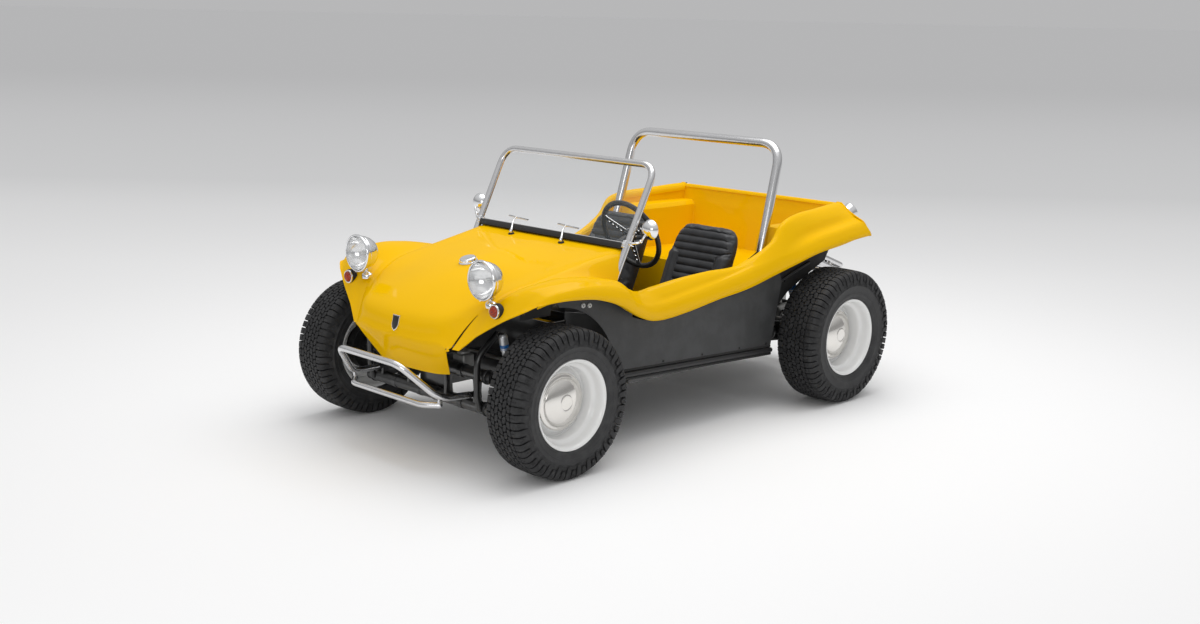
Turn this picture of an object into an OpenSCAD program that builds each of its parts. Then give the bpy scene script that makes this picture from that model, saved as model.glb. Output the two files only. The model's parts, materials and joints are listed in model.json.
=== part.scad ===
// Open two-seat dune buggy with a moulded body, a tube roll bar and a rear engine.
// The front of the car points along -Y, its left side along +X, and Z = 0 is the ground.

/* [Wheels] */
// Distance between the front and rear axles
wheelbase = 2032; // [1900:1:2200]
// Front tyre radius
front_tyre_r = 345; // [330:1:350]
// Rear tyre radius
rear_tyre_r = 361; // [345:1:370]
// Front tyre width
front_tyre_w = 224; // [200:1:232]
// Rear tyre width
rear_tyre_w = 244; // [215:1:250]
// Half track at the front, to the middle of the tyre
front_half_track = 728; // [722:1:745]
// Half track at the rear, to the middle of the tyre
rear_half_track = 752; // [745:1:775]
// Radius of the rim flange
rim_flange_r = 207.5; // [200:0.5:215]
// Radius of the hubcap
hubcap_r = 130; // [110:1:135]

/* [Body] */
// Thickness of the moulded shell
shell_t = 6; // [4:1:8]
// Half width of the cockpit walls
cockpit_half_w = 588; // [585:1:592]
// Height of the floor
floor_z = 318; // [310:1:322]
// Thickness of floor and side panels
panel_t = 6; // [4:1:8]

/* [Tubes] */
// Outer radius of the windshield frame tube
screen_tube_r = 16; // [12:1:18]
// Outer radius of the roll bar tube
roll_tube_r = 25; // [20:1:28]
// Height of the roll bar's top above the ground
roll_bar_top = 1383; // [1300:1:1450]
// Outer radius of the bumper tube
bumper_tube_r = 16; // [12:1:19]

/* [Steering] */
// Radius of the steering wheel
steering_wheel_r = 193; // [170:1:200]
// Radius of the knuckle's kingpin
kingpin_r = 11; // [9:0.5:13]

/* [Cockpit] */
// Width of each seat
seat_w = 430; // [380:1:440]
// Height of the seat back above its foot
seat_back_h = 560; // [480:1:600]

/* [Hidden] */

// Gap between pieces that only pass each other
fit_gap = 0.3;
front_axle_y = -wheelbase / 2;
rear_axle_y = wheelbase / 2;
// Furthest points of the two bumpers, from which the middle of the car follows
bumper_front_y = front_axle_y - 520;
bumper_rear_y = rear_axle_y + 574;
y_shift = -(bumper_front_y + bumper_rear_y) / 2;

yellow = "#f4be05";
black = "#242424";
rubber = "#2b2b2b";
chrome = "#d8d8d8";
white = "#f2f2f2";
alloy = "#9a9a98";

// ---------- Curves ----------

// Value of a smooth curve through the points of p, u running from 0 to len(p) - 1
function curve_at(p, u) =
    let (n = len(p) - 1, i = min(floor(u), n - 1), t = u - i,
         a = p[max(i - 1, 0)], b = p[i], c = p[i + 1], d = p[min(i + 2, n)])
    0.5 * (2 * b + (c - a) * t + (2 * a - 5 * b + 4 * c - d) * t * t
        + (3 * b - a - 3 * c + d) * t * t * t);
function curve(p, steps) =
    [for (k = [0 : (len(p) - 1) * steps]) curve_at(p, k / steps)];
function mirrored(p) = [for (q = p) [-q.x, q.y, q.z]];
function unit(v) = v / norm(v);

// Path with each inner corner rounded by an arc-like bend of the given reach
function bend(p, reach, steps) = [
    p[0],
    for (i = [1 : len(p) - 2])
        let (a = p[i] + unit(p[i - 1] - p[i]) * reach, c = p[i] + unit(p[i + 1] - p[i]) * reach)
        for (k = [0 : steps])
            let (t = k / steps)
            (1 - t) * (1 - t) * a + 2 * t * (1 - t) * p[i] + t * t * c,
    p[len(p) - 1]
];

// Round tube along a path; side is a direction that the path never takes
module tube(path, r, side, sides = 14) {
    last = len(path) - 1;
    points = [
        for (i = [0 : last])
            let (t = unit(path[min(i + 1, last)] - path[max(i - 1, 0)]),
                 n = unit(cross(t, side)), b = cross(n, t))
            for (k = [0 : sides - 1])
                path[i] + r * (cos(k * 360 / sides) * n + sin(k * 360 / sides) * b)
    ];
    walls = [
        for (i = [0 : last - 1], k = [0 : sides - 1])
            let (a = i * sides + k, b = i * sides + (k + 1) % sides)
            each [[a, b, b + sides], [a, b + sides, a + sides]]
    ];
    caps = [
        [for (k = [sides - 1 : -1 : 0]) k],
        [for (k = [0 : sides - 1]) last * sides + k]
    ];
    polyhedron(points, concat(walls, caps));
}

// Shell of thickness t below a net of points; rows run outward and columns rearward
module sheet(net, t) {
    n = len(net) - 1;
    m = len(net[0]) - 1;
    outer = [for (row = net) each row];
    inner = [
        for (i = [0 : n], j = [0 : m])
            let (di = net[min(i + 1, n)][j] - net[max(i - 1, 0)][j],
                 dj = net[i][min(j + 1, m)] - net[i][max(j - 1, 0)])
            net[i][j] - t * unit(cross(di, dj))
    ];
    w = m + 1;
    s = (n + 1) * w;
    skins = [
        for (i = [0 : n - 1], j = [0 : m - 1])
            let (a = i * w + j, b = a + 1, c = a + w + 1, d = a + w)
            each [[a, b, c], [a, c, d], [s + c, s + b, s + a], [s + d, s + c, s + a]]
    ];
    ends = [
        for (j = [0 : m - 1])
            let (a = j, b = j + 1, d = n * w + j, c = d + 1)
            each [[a, s + a, s + b], [a, s + b, b], [d, c, s + c], [d, s + c, s + d]]
    ];
    sides = [
        for (i = [0 : n - 1])
            let (a = i * w, d = a + w, b = a + m, c = d + m)
            each [[a, d, s + d], [a, s + d, s + a], [b, s + b, s + c], [b, s + c, c]]
    ];
    polyhedron(concat(outer, inner), concat(skins, ends, sides));
}

// Flat panel between three or four corners
module panel(corners, t) {
    hull() for (c = corners) translate(c) cube(t, center = true);
}

module rod(a, b, r) {
    d = b - a;
    translate(a)
        rotate([0, acos(d.z / norm(d)), atan2(d.y, d.x)])
            cylinder(r = r, h = norm(d), $fn = 32);
}

module both_sides() {
    children();
    mirror([1, 0, 0]) children();
}

module at_car() {
    translate([0, y_shift, 0]) children();
}

// ---------- Body lines, left side, front to rear ----------

// Valley beside the hood, then the top edge of the cockpit and of the rear tub
rim_line = [
    [362, -1325, 562], [430, -1200, 735], [490, -1000, 818], [530, -840, 842], [550, -690, 842],
    [560, -590, 822], [572, -500, 785], [590, -405, 745], [596, -290, 757], [597, -90, 776],
    [597, 120, 786], [600, 350, 792], [626, 565, 880], [628, 660, 980], [606, 800, 1012],
    [580, 1000, 1024], [560, 1150, 1032], [553, 1240, 1036]
];
// Top of the front fender and of the rounded edge behind it
crown_line = [
    [470, -1282, 632], [560, -1170, 812], [600, -985, 868], [615, -830, 868], [620, -690, 850],
    [622, -590, 828], [625, -500, 785], [622, -405, 750], [616, -290, 757], [612, -90, 776],
    [612, 120, 788], [615, 350, 797], [644, 575, 890], [644, 665, 990], [622, 800, 1022],
    [596, 1000, 1032], [575, 1150, 1040], [566, 1246, 1044]
];
// Outer shoulder
shoulder_line = [
    [608, -1228, 722], [680, -1120, 845], [700, -960, 872], [702, -820, 866], [697, -690, 848],
    [692, -590, 822], [690, -505, 764], [668, -410, 732], [650, -290, 722], [642, -90, 742],
    [636, 120, 765], [638, 340, 787], [664, 560, 850], [676, 690, 925], [668, 840, 962],
    [660, 1000, 982], [650, 1150, 994], [640, 1262, 998]
];
// Fold above the outer band
fold_line = [
    [690, -1188, 768], [748, -1085, 832], [756, -950, 846], [751, -830, 842], [740, -690, 825],
    [729, -590, 796], [717, -500, 729], [700, -410, 693], [681, -290, 684], [668, -90, 704],
    [660, 120, 730], [661, 340, 770], [680, 560, 808], [706, 700, 840], [720, 850, 890],
    [727, 1000, 915], [727, 1150, 934], [718, 1290, 946]
];
// Lower edge of the outer band
edge_line = [
    [735, -1150, 793], [759, -1050, 802], [762, -930, 798], [757, -800, 781], [745, -655, 736],
    [725, -548, 684], [705, -457, 642], [688, -360, 613], [675, -240, 606], [668, -70, 620],
    [665, 145, 650], [668, 375, 678], [682, 600, 733], [712, 735, 778], [735, 875, 819],
    [745, 1045, 842], [745, 1185, 862], [730, 1350, 868]
];
side_panel_x = 640;
rail_steps = 3;

function inward(line, dx, dz) = [for (p = line) [p.x - dx, p.y, p.z - dz]];
// Folded-in lip that reaches the black side panel behind the front wheel
lip_line = [for (p = edge_line) [min(p.x - 14, max(side_panel_x - 4, p.x - 34)), p.y, p.z + 3]];

module side_strip() {
    lines = [inward(rim_line, 24, 13), inward(rim_line, 3, 9), rim_line, crown_line,
        shoulder_line, fold_line, edge_line, lip_line];
    sheet([for (l = lines) curve(l, rail_steps)], shell_t);
}

// ---------- Rear tub ----------

bulkhead_y = 590;
ledge_y = 530;
hump_y = 644;
hump_top_y = 704;
tub_rear_y = 1240;
deck_z = 700;
deck_rear_y = 1200;
hump_z = 948;
hump_x = 460;
floor_top = floor_z + panel_t;
rim_rear = rim_line[17];

// Height of the rear wall's foot line at height z
function rear_wall_y(z) = deck_rear_y + (tub_rear_y - deck_rear_y) * (z - deck_z) / (1036 - deck_z);

module cockpit_wall() {
    wall = [for (p = curve([for (k = [7 : 12]) rim_line[k]], 2)) if (p.y < ledge_y) [p.y, p.z - 8]];
    translate([cockpit_half_w, 0, 0]) rotate([90, 0, 90]) linear_extrude(shell_t)
        polygon(concat([[ledge_y, floor_top + fit_gap], [-405, floor_top + fit_gap]], wall,
            [[ledge_y, 840]]));
}

module tub_side() {
    cockpit_wall();
    // Ledge beside the seat that carries the roll bar
    panel([[cockpit_half_w, ledge_y, 330], [hump_x, ledge_y, 330],
        [hump_x, ledge_y, deck_z], [cockpit_half_w + 4, ledge_y, deck_z]], shell_t);
    panel([[hump_x, ledge_y, 330], [hump_x, bulkhead_y, 330],
        [hump_x, bulkhead_y, deck_z], [hump_x, ledge_y, deck_z]], shell_t);
    panel([[hump_x, ledge_y, deck_z], [hump_x, hump_y, deck_z],
        [612, hump_y, deck_z], [cockpit_half_w + 4, ledge_y, deck_z]], shell_t);
    panel([[cockpit_half_w + 4, ledge_y, deck_z], [612, hump_y, deck_z],
        [624, hump_y, 952], [608, ledge_y, 836]], shell_t);
    // Wheel hump
    panel([[hump_x, hump_y, deck_z], [612, hump_y, deck_z], [622, hump_top_y, hump_z],
        [hump_x + 30, hump_top_y, hump_z], [hump_x + 4, hump_top_y - 6, hump_z - 30]], shell_t);
    panel([[hump_x, hump_y, deck_z], [hump_x, deck_rear_y, deck_z],
        [hump_x + 4, rear_wall_y(918), hump_z - 30], [hump_x + 4, hump_top_y - 6, hump_z - 30]],
        shell_t);
    panel([[hump_x + 4, hump_top_y - 6, hump_z - 30], [hump_x + 30, hump_top_y, hump_z],
        [hump_x + 30, rear_wall_y(948), hump_z], [hump_x + 4, rear_wall_y(918), hump_z - 30]],
        shell_t);
    panel([[hump_x + 30, hump_top_y, hump_z], [622, hump_top_y, hump_z],
        [560, rear_wall_y(948), hump_z], [hump_x + 30, rear_wall_y(948), hump_z]], shell_t);
    // Wall from the hump up to the rim
    panel([[622, hump_y, 930], [622, hump_top_y, hump_z], [560, rear_wall_y(948), hump_z],
        [548, tub_rear_y, 1028], [600, 810, 1006], [624, 690, 975]], shell_t);
}

module rear_wall() {
    panel([[-hump_x, bulkhead_y, floor_top + 4], [hump_x, bulkhead_y, floor_top + 4],
        [hump_x, bulkhead_y, deck_z], [-hump_x, bulkhead_y, deck_z]], shell_t);
    panel([[-hump_x, bulkhead_y, deck_z], [hump_x, bulkhead_y, deck_z],
        [hump_x, deck_rear_y, deck_z], [-hump_x, deck_rear_y, deck_z]], shell_t);
    panel([[-hump_x, deck_rear_y, deck_z], [hump_x, deck_rear_y, deck_z],
        [548, tub_rear_y, 1030], [-548, tub_rear_y, 1030]], shell_t);
    // Rolled top edge
    rod([-rim_rear.x - 4, tub_rear_y + 4, rim_rear.z], [rim_rear.x + 4, tub_rear_y + 4, rim_rear.z], 9);
    // Outer rear panel
    panel([[-560, tub_rear_y + 8, 1036], [560, tub_rear_y + 8, 1036],
        [600, tub_rear_y + 80, 880], [-600, tub_rear_y + 80, 880]], shell_t);
}

// Face that closes the fender behind the wheel and carries the tail light
module rear_corner() {
    panel([[556, tub_rear_y + 8, 1034], [566, tub_rear_y + 8, 1040], [636, 1262, 992],
        [600, tub_rear_y + 80, 880]], shell_t);
    panel([[636, 1262, 992], [714, 1288, 942], [724, 1346, 868], [600, tub_rear_y + 80, 880]], shell_t);
}

module body_shell() {
    color(yellow) at_car() {
        both_sides() {
            side_strip();
            tub_side();
            rear_corner();
        }
        rear_wall();
    }
}

// ---------- Hood ----------

// Edge of the hood, which rests on the lip in the valley beside the fender
hood_edge = concat([[266, -1259, 418], [334, -1336, 555]],
    [for (k = [0 : 5]) rim_line[k] + [-5, 0, 0]], [[522, -502, 806]]);
hood_lines = [
    // Centre
    [[0, -1290, 405], [0, -1366, 545], [0, -1366, 600], [0, -1330, 690], [0, -1150, 790],
        [0, -930, 868], [0, -760, 900], [0, -590, 922], [0, -385, 940]],
    [[130, -1286, 408], [170, -1360, 547], [170, -1358, 602], [172, -1322, 692], [180, -1140, 788],
        [190, -920, 860], [196, -750, 892], [200, -590, 916], [200, -388, 940]],
    [[225, -1274, 413], [286, -1346, 551], [292, -1342, 610], [310, -1300, 700], [340, -1110, 786],
        [370, -900, 852], [385, -740, 884], [400, -585, 910], [400, -392, 941]],
    // Crease that runs down from the windshield corner
    [[252, -1265, 416], [322, -1340, 553], [340, -1328, 590], [386, -1240, 708], [450, -1060, 806],
        [486, -880, 852], [500, -735, 876], [508, -590, 902], [518, -402, 936]],
    hood_edge
];
hood_steps = 3;

module hood() {
    left = [for (l = hood_lines) curve(l, hood_steps)];
    right = [for (k = [len(left) - 1 : -1 : 1]) mirrored(left[k])];
    color(yellow) at_car() sheet(concat(right, left), shell_t);
}

// ---------- Black panels and floor ----------

arch_r = 400;
// The arch's centre is this far behind the axle
arch_back = 60;
panel_front_y = -1060;
// Under the front fender the panel stops this far below the shoulder
panel_under_fender = 26;

module side_panels() {
    edge = [for (p = curve(edge_line, 3)) if (p.y > -480 && p.y < 690) p];
    fender = [for (p = curve(shoulder_line, 3)) if (p.y > panel_front_y && p.y < -560) p];
    color(black) at_car() both_sides() difference() {
        translate([side_panel_x - panel_t, 0, 0]) rotate([90, 0, 90])
            linear_extrude(panel_t)
                polygon(concat([[600, 300], [-600, 350]],
                    [for (p = fender) [p.y, p.z - panel_under_fender]],
                    [for (p = edge) [p.y, p.z - 4]], [[683, 676]]));
        translate([0, front_axle_y + arch_back, front_tyre_r]) rotate([0, 90, 0])
            cylinder(r = arch_r, h = 1000, $fn = 96);
    }
}

foot_x = 395;
foot_front_y = -760;
kick_front_y = -660;
kick_rear_y = -520;
sill_x = 606;
tunnel_w = 110;
tunnel_h = 105;
floor_rear_y = bulkhead_y - 8;
horn_x = 180;
head_w = 200;
head_h = 90;

module floor_pan() {
    color(black) at_car() {
        difference() {
            union() {
                translate([0, 0, floor_z]) linear_extrude(panel_t)
                    polygon([[-sill_x - 4, floor_rear_y], [sill_x + 4, floor_rear_y],
                        [sill_x + 4, kick_rear_y], [foot_x, kick_front_y], [foot_x, foot_front_y],
                        [-foot_x, foot_front_y], [-foot_x, kick_front_y],
                        [-sill_x - 4, kick_rear_y]]);
                // Tunnel
                translate([-tunnel_w / 2, foot_front_y, floor_z])
                    cube([tunnel_w, floor_rear_y - foot_front_y, tunnel_h]);
            }
            translate([-tunnel_w / 2 + panel_t, foot_front_y + panel_t, floor_z - 1])
                cube([tunnel_w - 2 * panel_t, floor_rear_y - foot_front_y, tunnel_h - panel_t + 1]);
        }
        // Frame head that carries the front beam
        translate([-head_w / 2, front_beam_y + beam_tube_r + fit_gap, floor_z])
            cube([head_w, foot_front_y - front_beam_y - beam_tube_r, head_h]);
        // Frame horns below the floor, with a saddle under the torsion tube
        both_sides() translate([horn_x, 0, 0]) {
            translate([0, floor_rear_y - 60, floor_z - 28]) cube([44, torsion_y - floor_rear_y + 90, 28]);
            translate([0, torsion_y - 25, floor_z - 1])
                cube([44, 50, torsion_z - torsion_r - fit_gap - floor_z + 1]);
        }
        sills();
        footwell();
    }
}

module sills() {
    both_sides() translate([sill_x, 0, 0]) rotate([90, 0, 90])
        linear_extrude(side_panel_x - panel_t - sill_x - fit_gap)
            polygon([[-466, 314], [floor_rear_y, 303], [floor_rear_y, 350], [-466, 390]]);
}

module footwell() {
    translate([-foot_x, foot_front_y, floor_z]) cube([2 * foot_x, panel_t, 290]);
    both_sides() {
        translate([foot_x - panel_t, foot_front_y, floor_z])
            cube([panel_t, kick_front_y - foot_front_y + 2, 290]);
        upright([foot_x - panel_t, kick_front_y], [sill_x + 4, kick_rear_y], floor_z, 330);
    }
}

// Upright panel between two plan points
module upright(a, b, z, h) {
    d = b - a;
    translate([a.x, a.y, z]) rotate(atan2(d.y, d.x)) cube([norm(d), panel_t, h]);
}

// ---------- Cockpit ----------

dash_y = -404;
dash_t = 12;
dash_top = 929;
dash_bottom = 790;
gauge_r = 42;

module dashboard() {
    color(black) at_car() {
        difference() {
            translate([-510, dash_y - dash_t, dash_bottom])
                cube([1020, dash_t, dash_top - dash_bottom]);
            on_column() translate([0, 0, -column_l])
                cylinder(r = column_r + fit_gap, h = column_l, $fn = 48);
        }
        for (x = [-70, 60, 190])
            translate([x, dash_y, 866]) rotate([-90, 0, 0]) cylinder(r = gauge_r, h = 10, $fn = 48);
    }
}

screen_lean = 26.5;
screen_half_w = 545;
screen_foot_z = 800;
screen_top_z = 1332;
screen_foot_y = -482;
rail_z = 958.6;

// Point of the windshield plane, x across and z up
function on_screen(x, z) = [x, screen_foot_y + (z - screen_foot_z) * tan(screen_lean), z];

module windshield_frame() {
    corners = [on_screen(screen_half_w - 6, screen_foot_z), on_screen(screen_half_w, screen_top_z),
        on_screen(-screen_half_w, screen_top_z), on_screen(6 - screen_half_w, screen_foot_z)];
    color(chrome) at_car()
        tube(bend(corners, 95, 8), screen_tube_r, [0, cos(screen_lean), -sin(screen_lean)], 16);
    color(black) at_car()
        translate(on_screen(0, rail_z)) rotate([-screen_lean, 0, 0])
            difference() {
                cube([2 * (screen_half_w - screen_tube_r - 4), 22, 30], center = true);
                translate([0, 0, 11]) cube([2 * screen_half_w, glass_t + 2 * fit_gap, 10], center = true);
            }
}

glass_t = 6;

module windshield_glass() {
    w = 2 * (screen_half_w - screen_tube_r - 8);
    h = (screen_top_z - rail_z) / cos(screen_lean) - screen_tube_r - 10;
    color("#dfe8ea", 0.4) at_car()
        translate(on_screen(0, rail_z)) rotate([90 - screen_lean, 0, 0])
            translate([0, 8, -glass_t / 2]) linear_extrude(glass_t)
                polygon(concat([[-w / 2, 0], [w / 2, 0], [w / 2 - 2, h - 60]],
                    [for (k = [10 : 10 : 80]) [w / 2 - 62 + 60 * cos(k), h - 60 + 60 * sin(k)]],
                    [for (k = [100 : 10 : 170]) [62 - w / 2 + 60 * cos(k), h - 60 + 60 * sin(k)]],
                    [[2 - w / 2, h - 60]]));
}

wiper_y = -468;
wiper_z = 934;

module wipers() {
    color(chrome) at_car() for (w = [[-215, wiper_z - 2.3], [155, wiper_z - 1.4]]) let (x = w.x) {
        translate([x, wiper_y, w.y]) cylinder(r = 8, h = 26, $fn = 32);
        rod([x, wiper_y, wiper_z + 20], [x - 45, -392, 1014], 4);
        rod([x - 108, -394, 1008], [x + 42, -396, 1000], 4);
    }
}

// Lamp bowl facing the front on a short stalk
headlight_at = [464, -1245, 878];
headlight_r = 90;

module headlights() {
    color(chrome) at_car() both_sides() translate(headlight_at) rotate([90, 0, 0]) {
        rotate_extrude($fn = 64) polygon(concat([[headlight_r - 8, 2], [headlight_r, 2],
            [headlight_r + 2, -12]],
            [for (k = [10 : 10 : 80]) [headlight_r * cos(k), -12 - 95 * sin(k)]], [[0, -107]],
            [[0, -100], [headlight_r - 12, -10]]));
        translate([0, 8 - headlight_r, -60]) rotate([90, 0, 0]) cylinder(r = 17, h = 27, $fn = 32);
    }
}

module headlight_lenses() {
    color("#e8eef2") at_car() both_sides() translate(headlight_at) rotate([90, 0, 0])
        rotate_extrude($fn = 64)
            polygon(concat([[0, 2], [headlight_r - 8 - fit_gap, 2]],
                [for (k = [0 : 10 : 80]) [(headlight_r - 8 - fit_gap) * cos(k), 4 + 12 * sin(k)]],
                [[0, 16]]));
}

turn_signal_at = [546, -1230.5, 752];
tail_light_at = [606, 1302, 978];

module signal_lights() {
    at_car() both_sides() {
        translate(turn_signal_at) rotate([90, 0, 0]) {
            color(chrome) cylinder(r = 32, h = 14, $fn = 48);
            color("#d2560a") translate([0, 0, 14]) cylinder(r = 26, h = 14, $fn = 48);
        }
        translate(tail_light_at) rotate([-90, 0, 0]) {
            color(chrome) cylinder(r = 48, h = 30, $fn = 48);
            color("#8c1410") translate([0, 0, 30]) cylinder(r = 42, h = 14, $fn = 48);
        }
    }
}

mirror_at = [622, -352, 1040];
mirror_r = 49;

module mirrors() {
    foot = on_screen(screen_half_w, rail_z + 12);
    color(chrome) at_car() both_sides() {
        translate(mirror_at) rotate([-90, 0, 0]) cylinder(r1 = 30, r2 = mirror_r, h = 20, $fn = 64);
        rod(foot + [screen_tube_r - 0.5, 0, 0], [602, -372, 985], 7);
        rod([602, -372, 985], mirror_at + [0, 4, -14], 5);
    }
}

module hood_trim() {
    at_car() {
        color(chrome) translate([0, -930, 868.5]) rotate([15, 0, 0]) {
            cylinder(r = 40, h = 16, $fn = 64);
            translate([0, 0, 16]) cylinder(r = 34, h = 6, $fn = 64);
        }
        color(black) translate([0, -1362, 628]) rotate([76, 0, 0]) linear_extrude(5)
            polygon([[-25, 38], [25, 38], [25, -10], [16, -28], [0, -38], [-16, -28], [-25, -10]]);
    }
}

roll_foot_y = 583;
roll_top_y = 766;
roll_lean = atan((roll_top_y - roll_foot_y) / (roll_bar_top - deck_z));

module roll_bar() {
    foot = [548, roll_foot_y - 2, deck_z + shell_t / 2 + fit_gap];
    top = [529, roll_top_y, roll_bar_top];
    path = [foot + [0, 0, 8], top, [-top.x, top.y, top.z], [-foot.x, foot.y, foot.z + 8]];
    color(chrome) at_car() {
        tube(bend(path, 130, 8), roll_tube_r, [0, cos(roll_lean), -sin(roll_lean)], 18);
        both_sides() translate(foot) cylinder(r = 38, h = 10, $fn = 48);
    }
}

module front_bumper() {
    upper = [[350, -1212, 331], [330, -1372, 336], [226, bumper_front_y + bumper_tube_r, 498],
        [-226, bumper_front_y + bumper_tube_r, 498], [-330, -1372, 336], [-350, -1212, 331]];
    lower = [[322, -1366, 303], [262, -1418, 302], [-262, -1418, 302], [-322, -1366, 303]];
    color(chrome) at_car() {
        tube(bend(upper, 55, 6), bumper_tube_r, [0, -0.3, 1], 14);
        tube(bend(lower, 30, 4), bumper_tube_r - 2, [0, 0, 1], 14);
        both_sides() rod([350, -1214, 331], [350, front_beam_y - 20 - fit_gap, 331], 14);
        // Clamps that hold the lower tube to the upper one
        both_sides() rod([318, -1366, 302], [324, -1366, 337], 8);
    }
}

// Two-hole pattern for a plate
plate_pitch = 178;
plate_hole_r = 3.5;
plate_hole_z = 548;

module rear_bumper() {
    drop = 38;
    upper = [[400, 1215, 761.4], [400, bumper_rear_y - 34, 632], [340, bumper_rear_y - bumper_tube_r, 622],
        [-340, bumper_rear_y - bumper_tube_r, 622], [-400, bumper_rear_y - 34, 632], [-400, 1215, 761.4]];
    lower = [for (p = upper) p - [0, 0, drop]];
    color(chrome) at_car() {
        tube(bend(upper, 28, 4), bumper_tube_r, [0, 0.3, 1], 14);
        tube(bend(lower, 28, 4), bumper_tube_r, [0, 0.3, 1], 14);
        both_sides() for (y = [1290, 1420])
            translate([400, y, 762 - (y - 1214) * 0.38 - drop / 2]) rotate([0, 90, 0])
                translate([0, 0, -9]) cylinder(r = 24, h = 18, $fn = 32);
        // Bracket below the lower bar for a blank plate
        difference() {
            translate([-plate_pitch / 2 - 22, bumper_rear_y - bumper_tube_r - 2, 536])
                cube([plate_pitch + 44, 4, 50]);
            for (x = [-plate_pitch / 2, plate_pitch / 2])
                translate([x, bumper_rear_y, plate_hole_z]) rotate([90, 0, 0])
                    cylinder(r = plate_hole_r, h = 2 * bumper_tube_r, $fn = 32);
        }
    }
}

// ---------- Seats ----------

seat_x = 314;
seat_back_lean = 24;
seat_foot = floor_top + fit_gap;

module seat() {
    // Base cushion
    hull() for (x = [-1, 1], y = [-150, 210])
        translate([x * (seat_w / 2 - 40), y, 430 + (y < 0 ? 28 : 0)]) {
            sphere(r = 40, $fn = 24);
            translate([0, 0, 50]) sphere(r = 40, $fn = 24);
        }
    // Back
    translate([0, 250, 440]) rotate([-seat_back_lean, 0, 0]) hull() {
        for (x = [-1, 1]) {
            translate([x * (seat_w / 2 - 35), 0, 0]) sphere(r = 40, $fn = 24);
            translate([x * (seat_w / 2 - 60), 10, seat_back_h - 50]) sphere(r = 45, $fn = 24);
        }
    }
    // Slide frame
    for (x = [-1, 1]) translate([x * 150 - 15, -150, seat_foot]) cube([30, 360, 92]);
}

module driver_seat() {
    color(black) at_car() translate([seat_x, 0, 0]) seat();
}

module passenger_seat() {
    color(black) at_car() translate([-seat_x, 0, 0]) seat();
}

// ---------- Steering ----------

column_x = 306;
wheel_hub = [column_x, -131, 960];
column_lean = 24;
column_l = 560;
column_r = 20;
column_shaft_r = 9;
running_gap = 0.05;

// Frame with its Z axis along the column, towards the driver
module on_column() {
    translate(wheel_hub) rotate([column_lean - 90, 0, 0]) children();
}

module steering_wheel() {
    color(black) at_car() on_column() {
        rotate_extrude($fn = 72) translate([steering_wheel_r - 13, 0]) circle(r = 13, $fn = 24);
        for (k = [90, 210, 330]) rotate(k)
            translate([20, -16, -8]) cube([steering_wheel_r - 40, 32, 5]);
        translate([0, 0, -30]) cylinder(r = 30, h = 36, $fn = 48);
        translate([0, 0, -80]) cylinder(r = column_shaft_r, h = 60, $fn = 48);
    }
}

module steering_column() {
    color(black) at_car() on_column() translate([0, 0, -30 - fit_gap - column_l]) difference() {
        cylinder(r = column_r, h = column_l, $fn = 48);
        translate([0, 0, column_l - 56])
            cylinder(r = column_shaft_r + running_gap, h = 60, $fn = 48);
    }
}

module floor_controls() {
    tunnel_top = floor_z + tunnel_h + fit_gap;
    color(chrome) at_car() {
        // Gear lever
        translate([0, -160, tunnel_top]) cylinder(r = 26, h = 14, $fn = 48);
        rod([0, -160, tunnel_top + 8], [0, -110, 690], 7);
        translate([0, -110, 700]) sphere(r = 24, $fn = 32);
        // Hand brake
        translate([-10, 60, tunnel_top]) cube([20, 90, 26]);
        rod([0, 100, tunnel_top + 20], [0, 300, 540], 11);
        // Pedals
        for (x = [190, 265, 340]) {
            translate([x - 12, -650, floor_top + fit_gap]) cube([24, 30, 10]);
            rod([x, -640, floor_top + 6], [x, -655, 480], 6);
            translate([x - 25, -662, 470]) cube([50, 8, 70]);
        }
    }
}

// ---------- Front running gear ----------

front_beam_y = front_axle_y - 150;
beam_z = [front_tyre_r - 75, front_tyre_r + 75];
beam_tube_r = 31;
beam_half_w = 430;
kingpin_x = 560;
arm_r = 20;
boss_h = beam_z[1] - beam_z[0] + 40;
boss_z = beam_z[0] - 20;
yoke_h = 24;

module front_beam() {
    color(black) at_car() {
        for (z = beam_z) translate([-beam_half_w, front_beam_y, z]) rotate([0, 90, 0])
            cylinder(r = beam_tube_r, h = 2 * beam_half_w, $fn = 48);
        for (x = [-360, -150, 130, 340]) translate([x, front_beam_y - 20, beam_z[0]])
            cube([20, 40, beam_z[1] - beam_z[0]]);
        // Plate that bolts to the frame head
        translate([-head_w / 2, front_beam_y + 20, beam_z[0]])
            cube([head_w, beam_tube_r - 20, beam_z[1] - beam_z[0]]);
        // Shock towers
        both_sides() tube(bend([[405, front_beam_y - 30, 265], [405, front_beam_y - 48, 330],
            [405, front_beam_y - 50, 478], [405, front_beam_y - 30, 530],
            [405, front_beam_y + 70, 610]], 22, 4), 15, [1, 0, 0], 12);
        // Steering box on the upper tube
        translate([150, front_beam_y + 10, beam_z[1] - 10]) cube([90, 70, 90]);
    }
}

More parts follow.
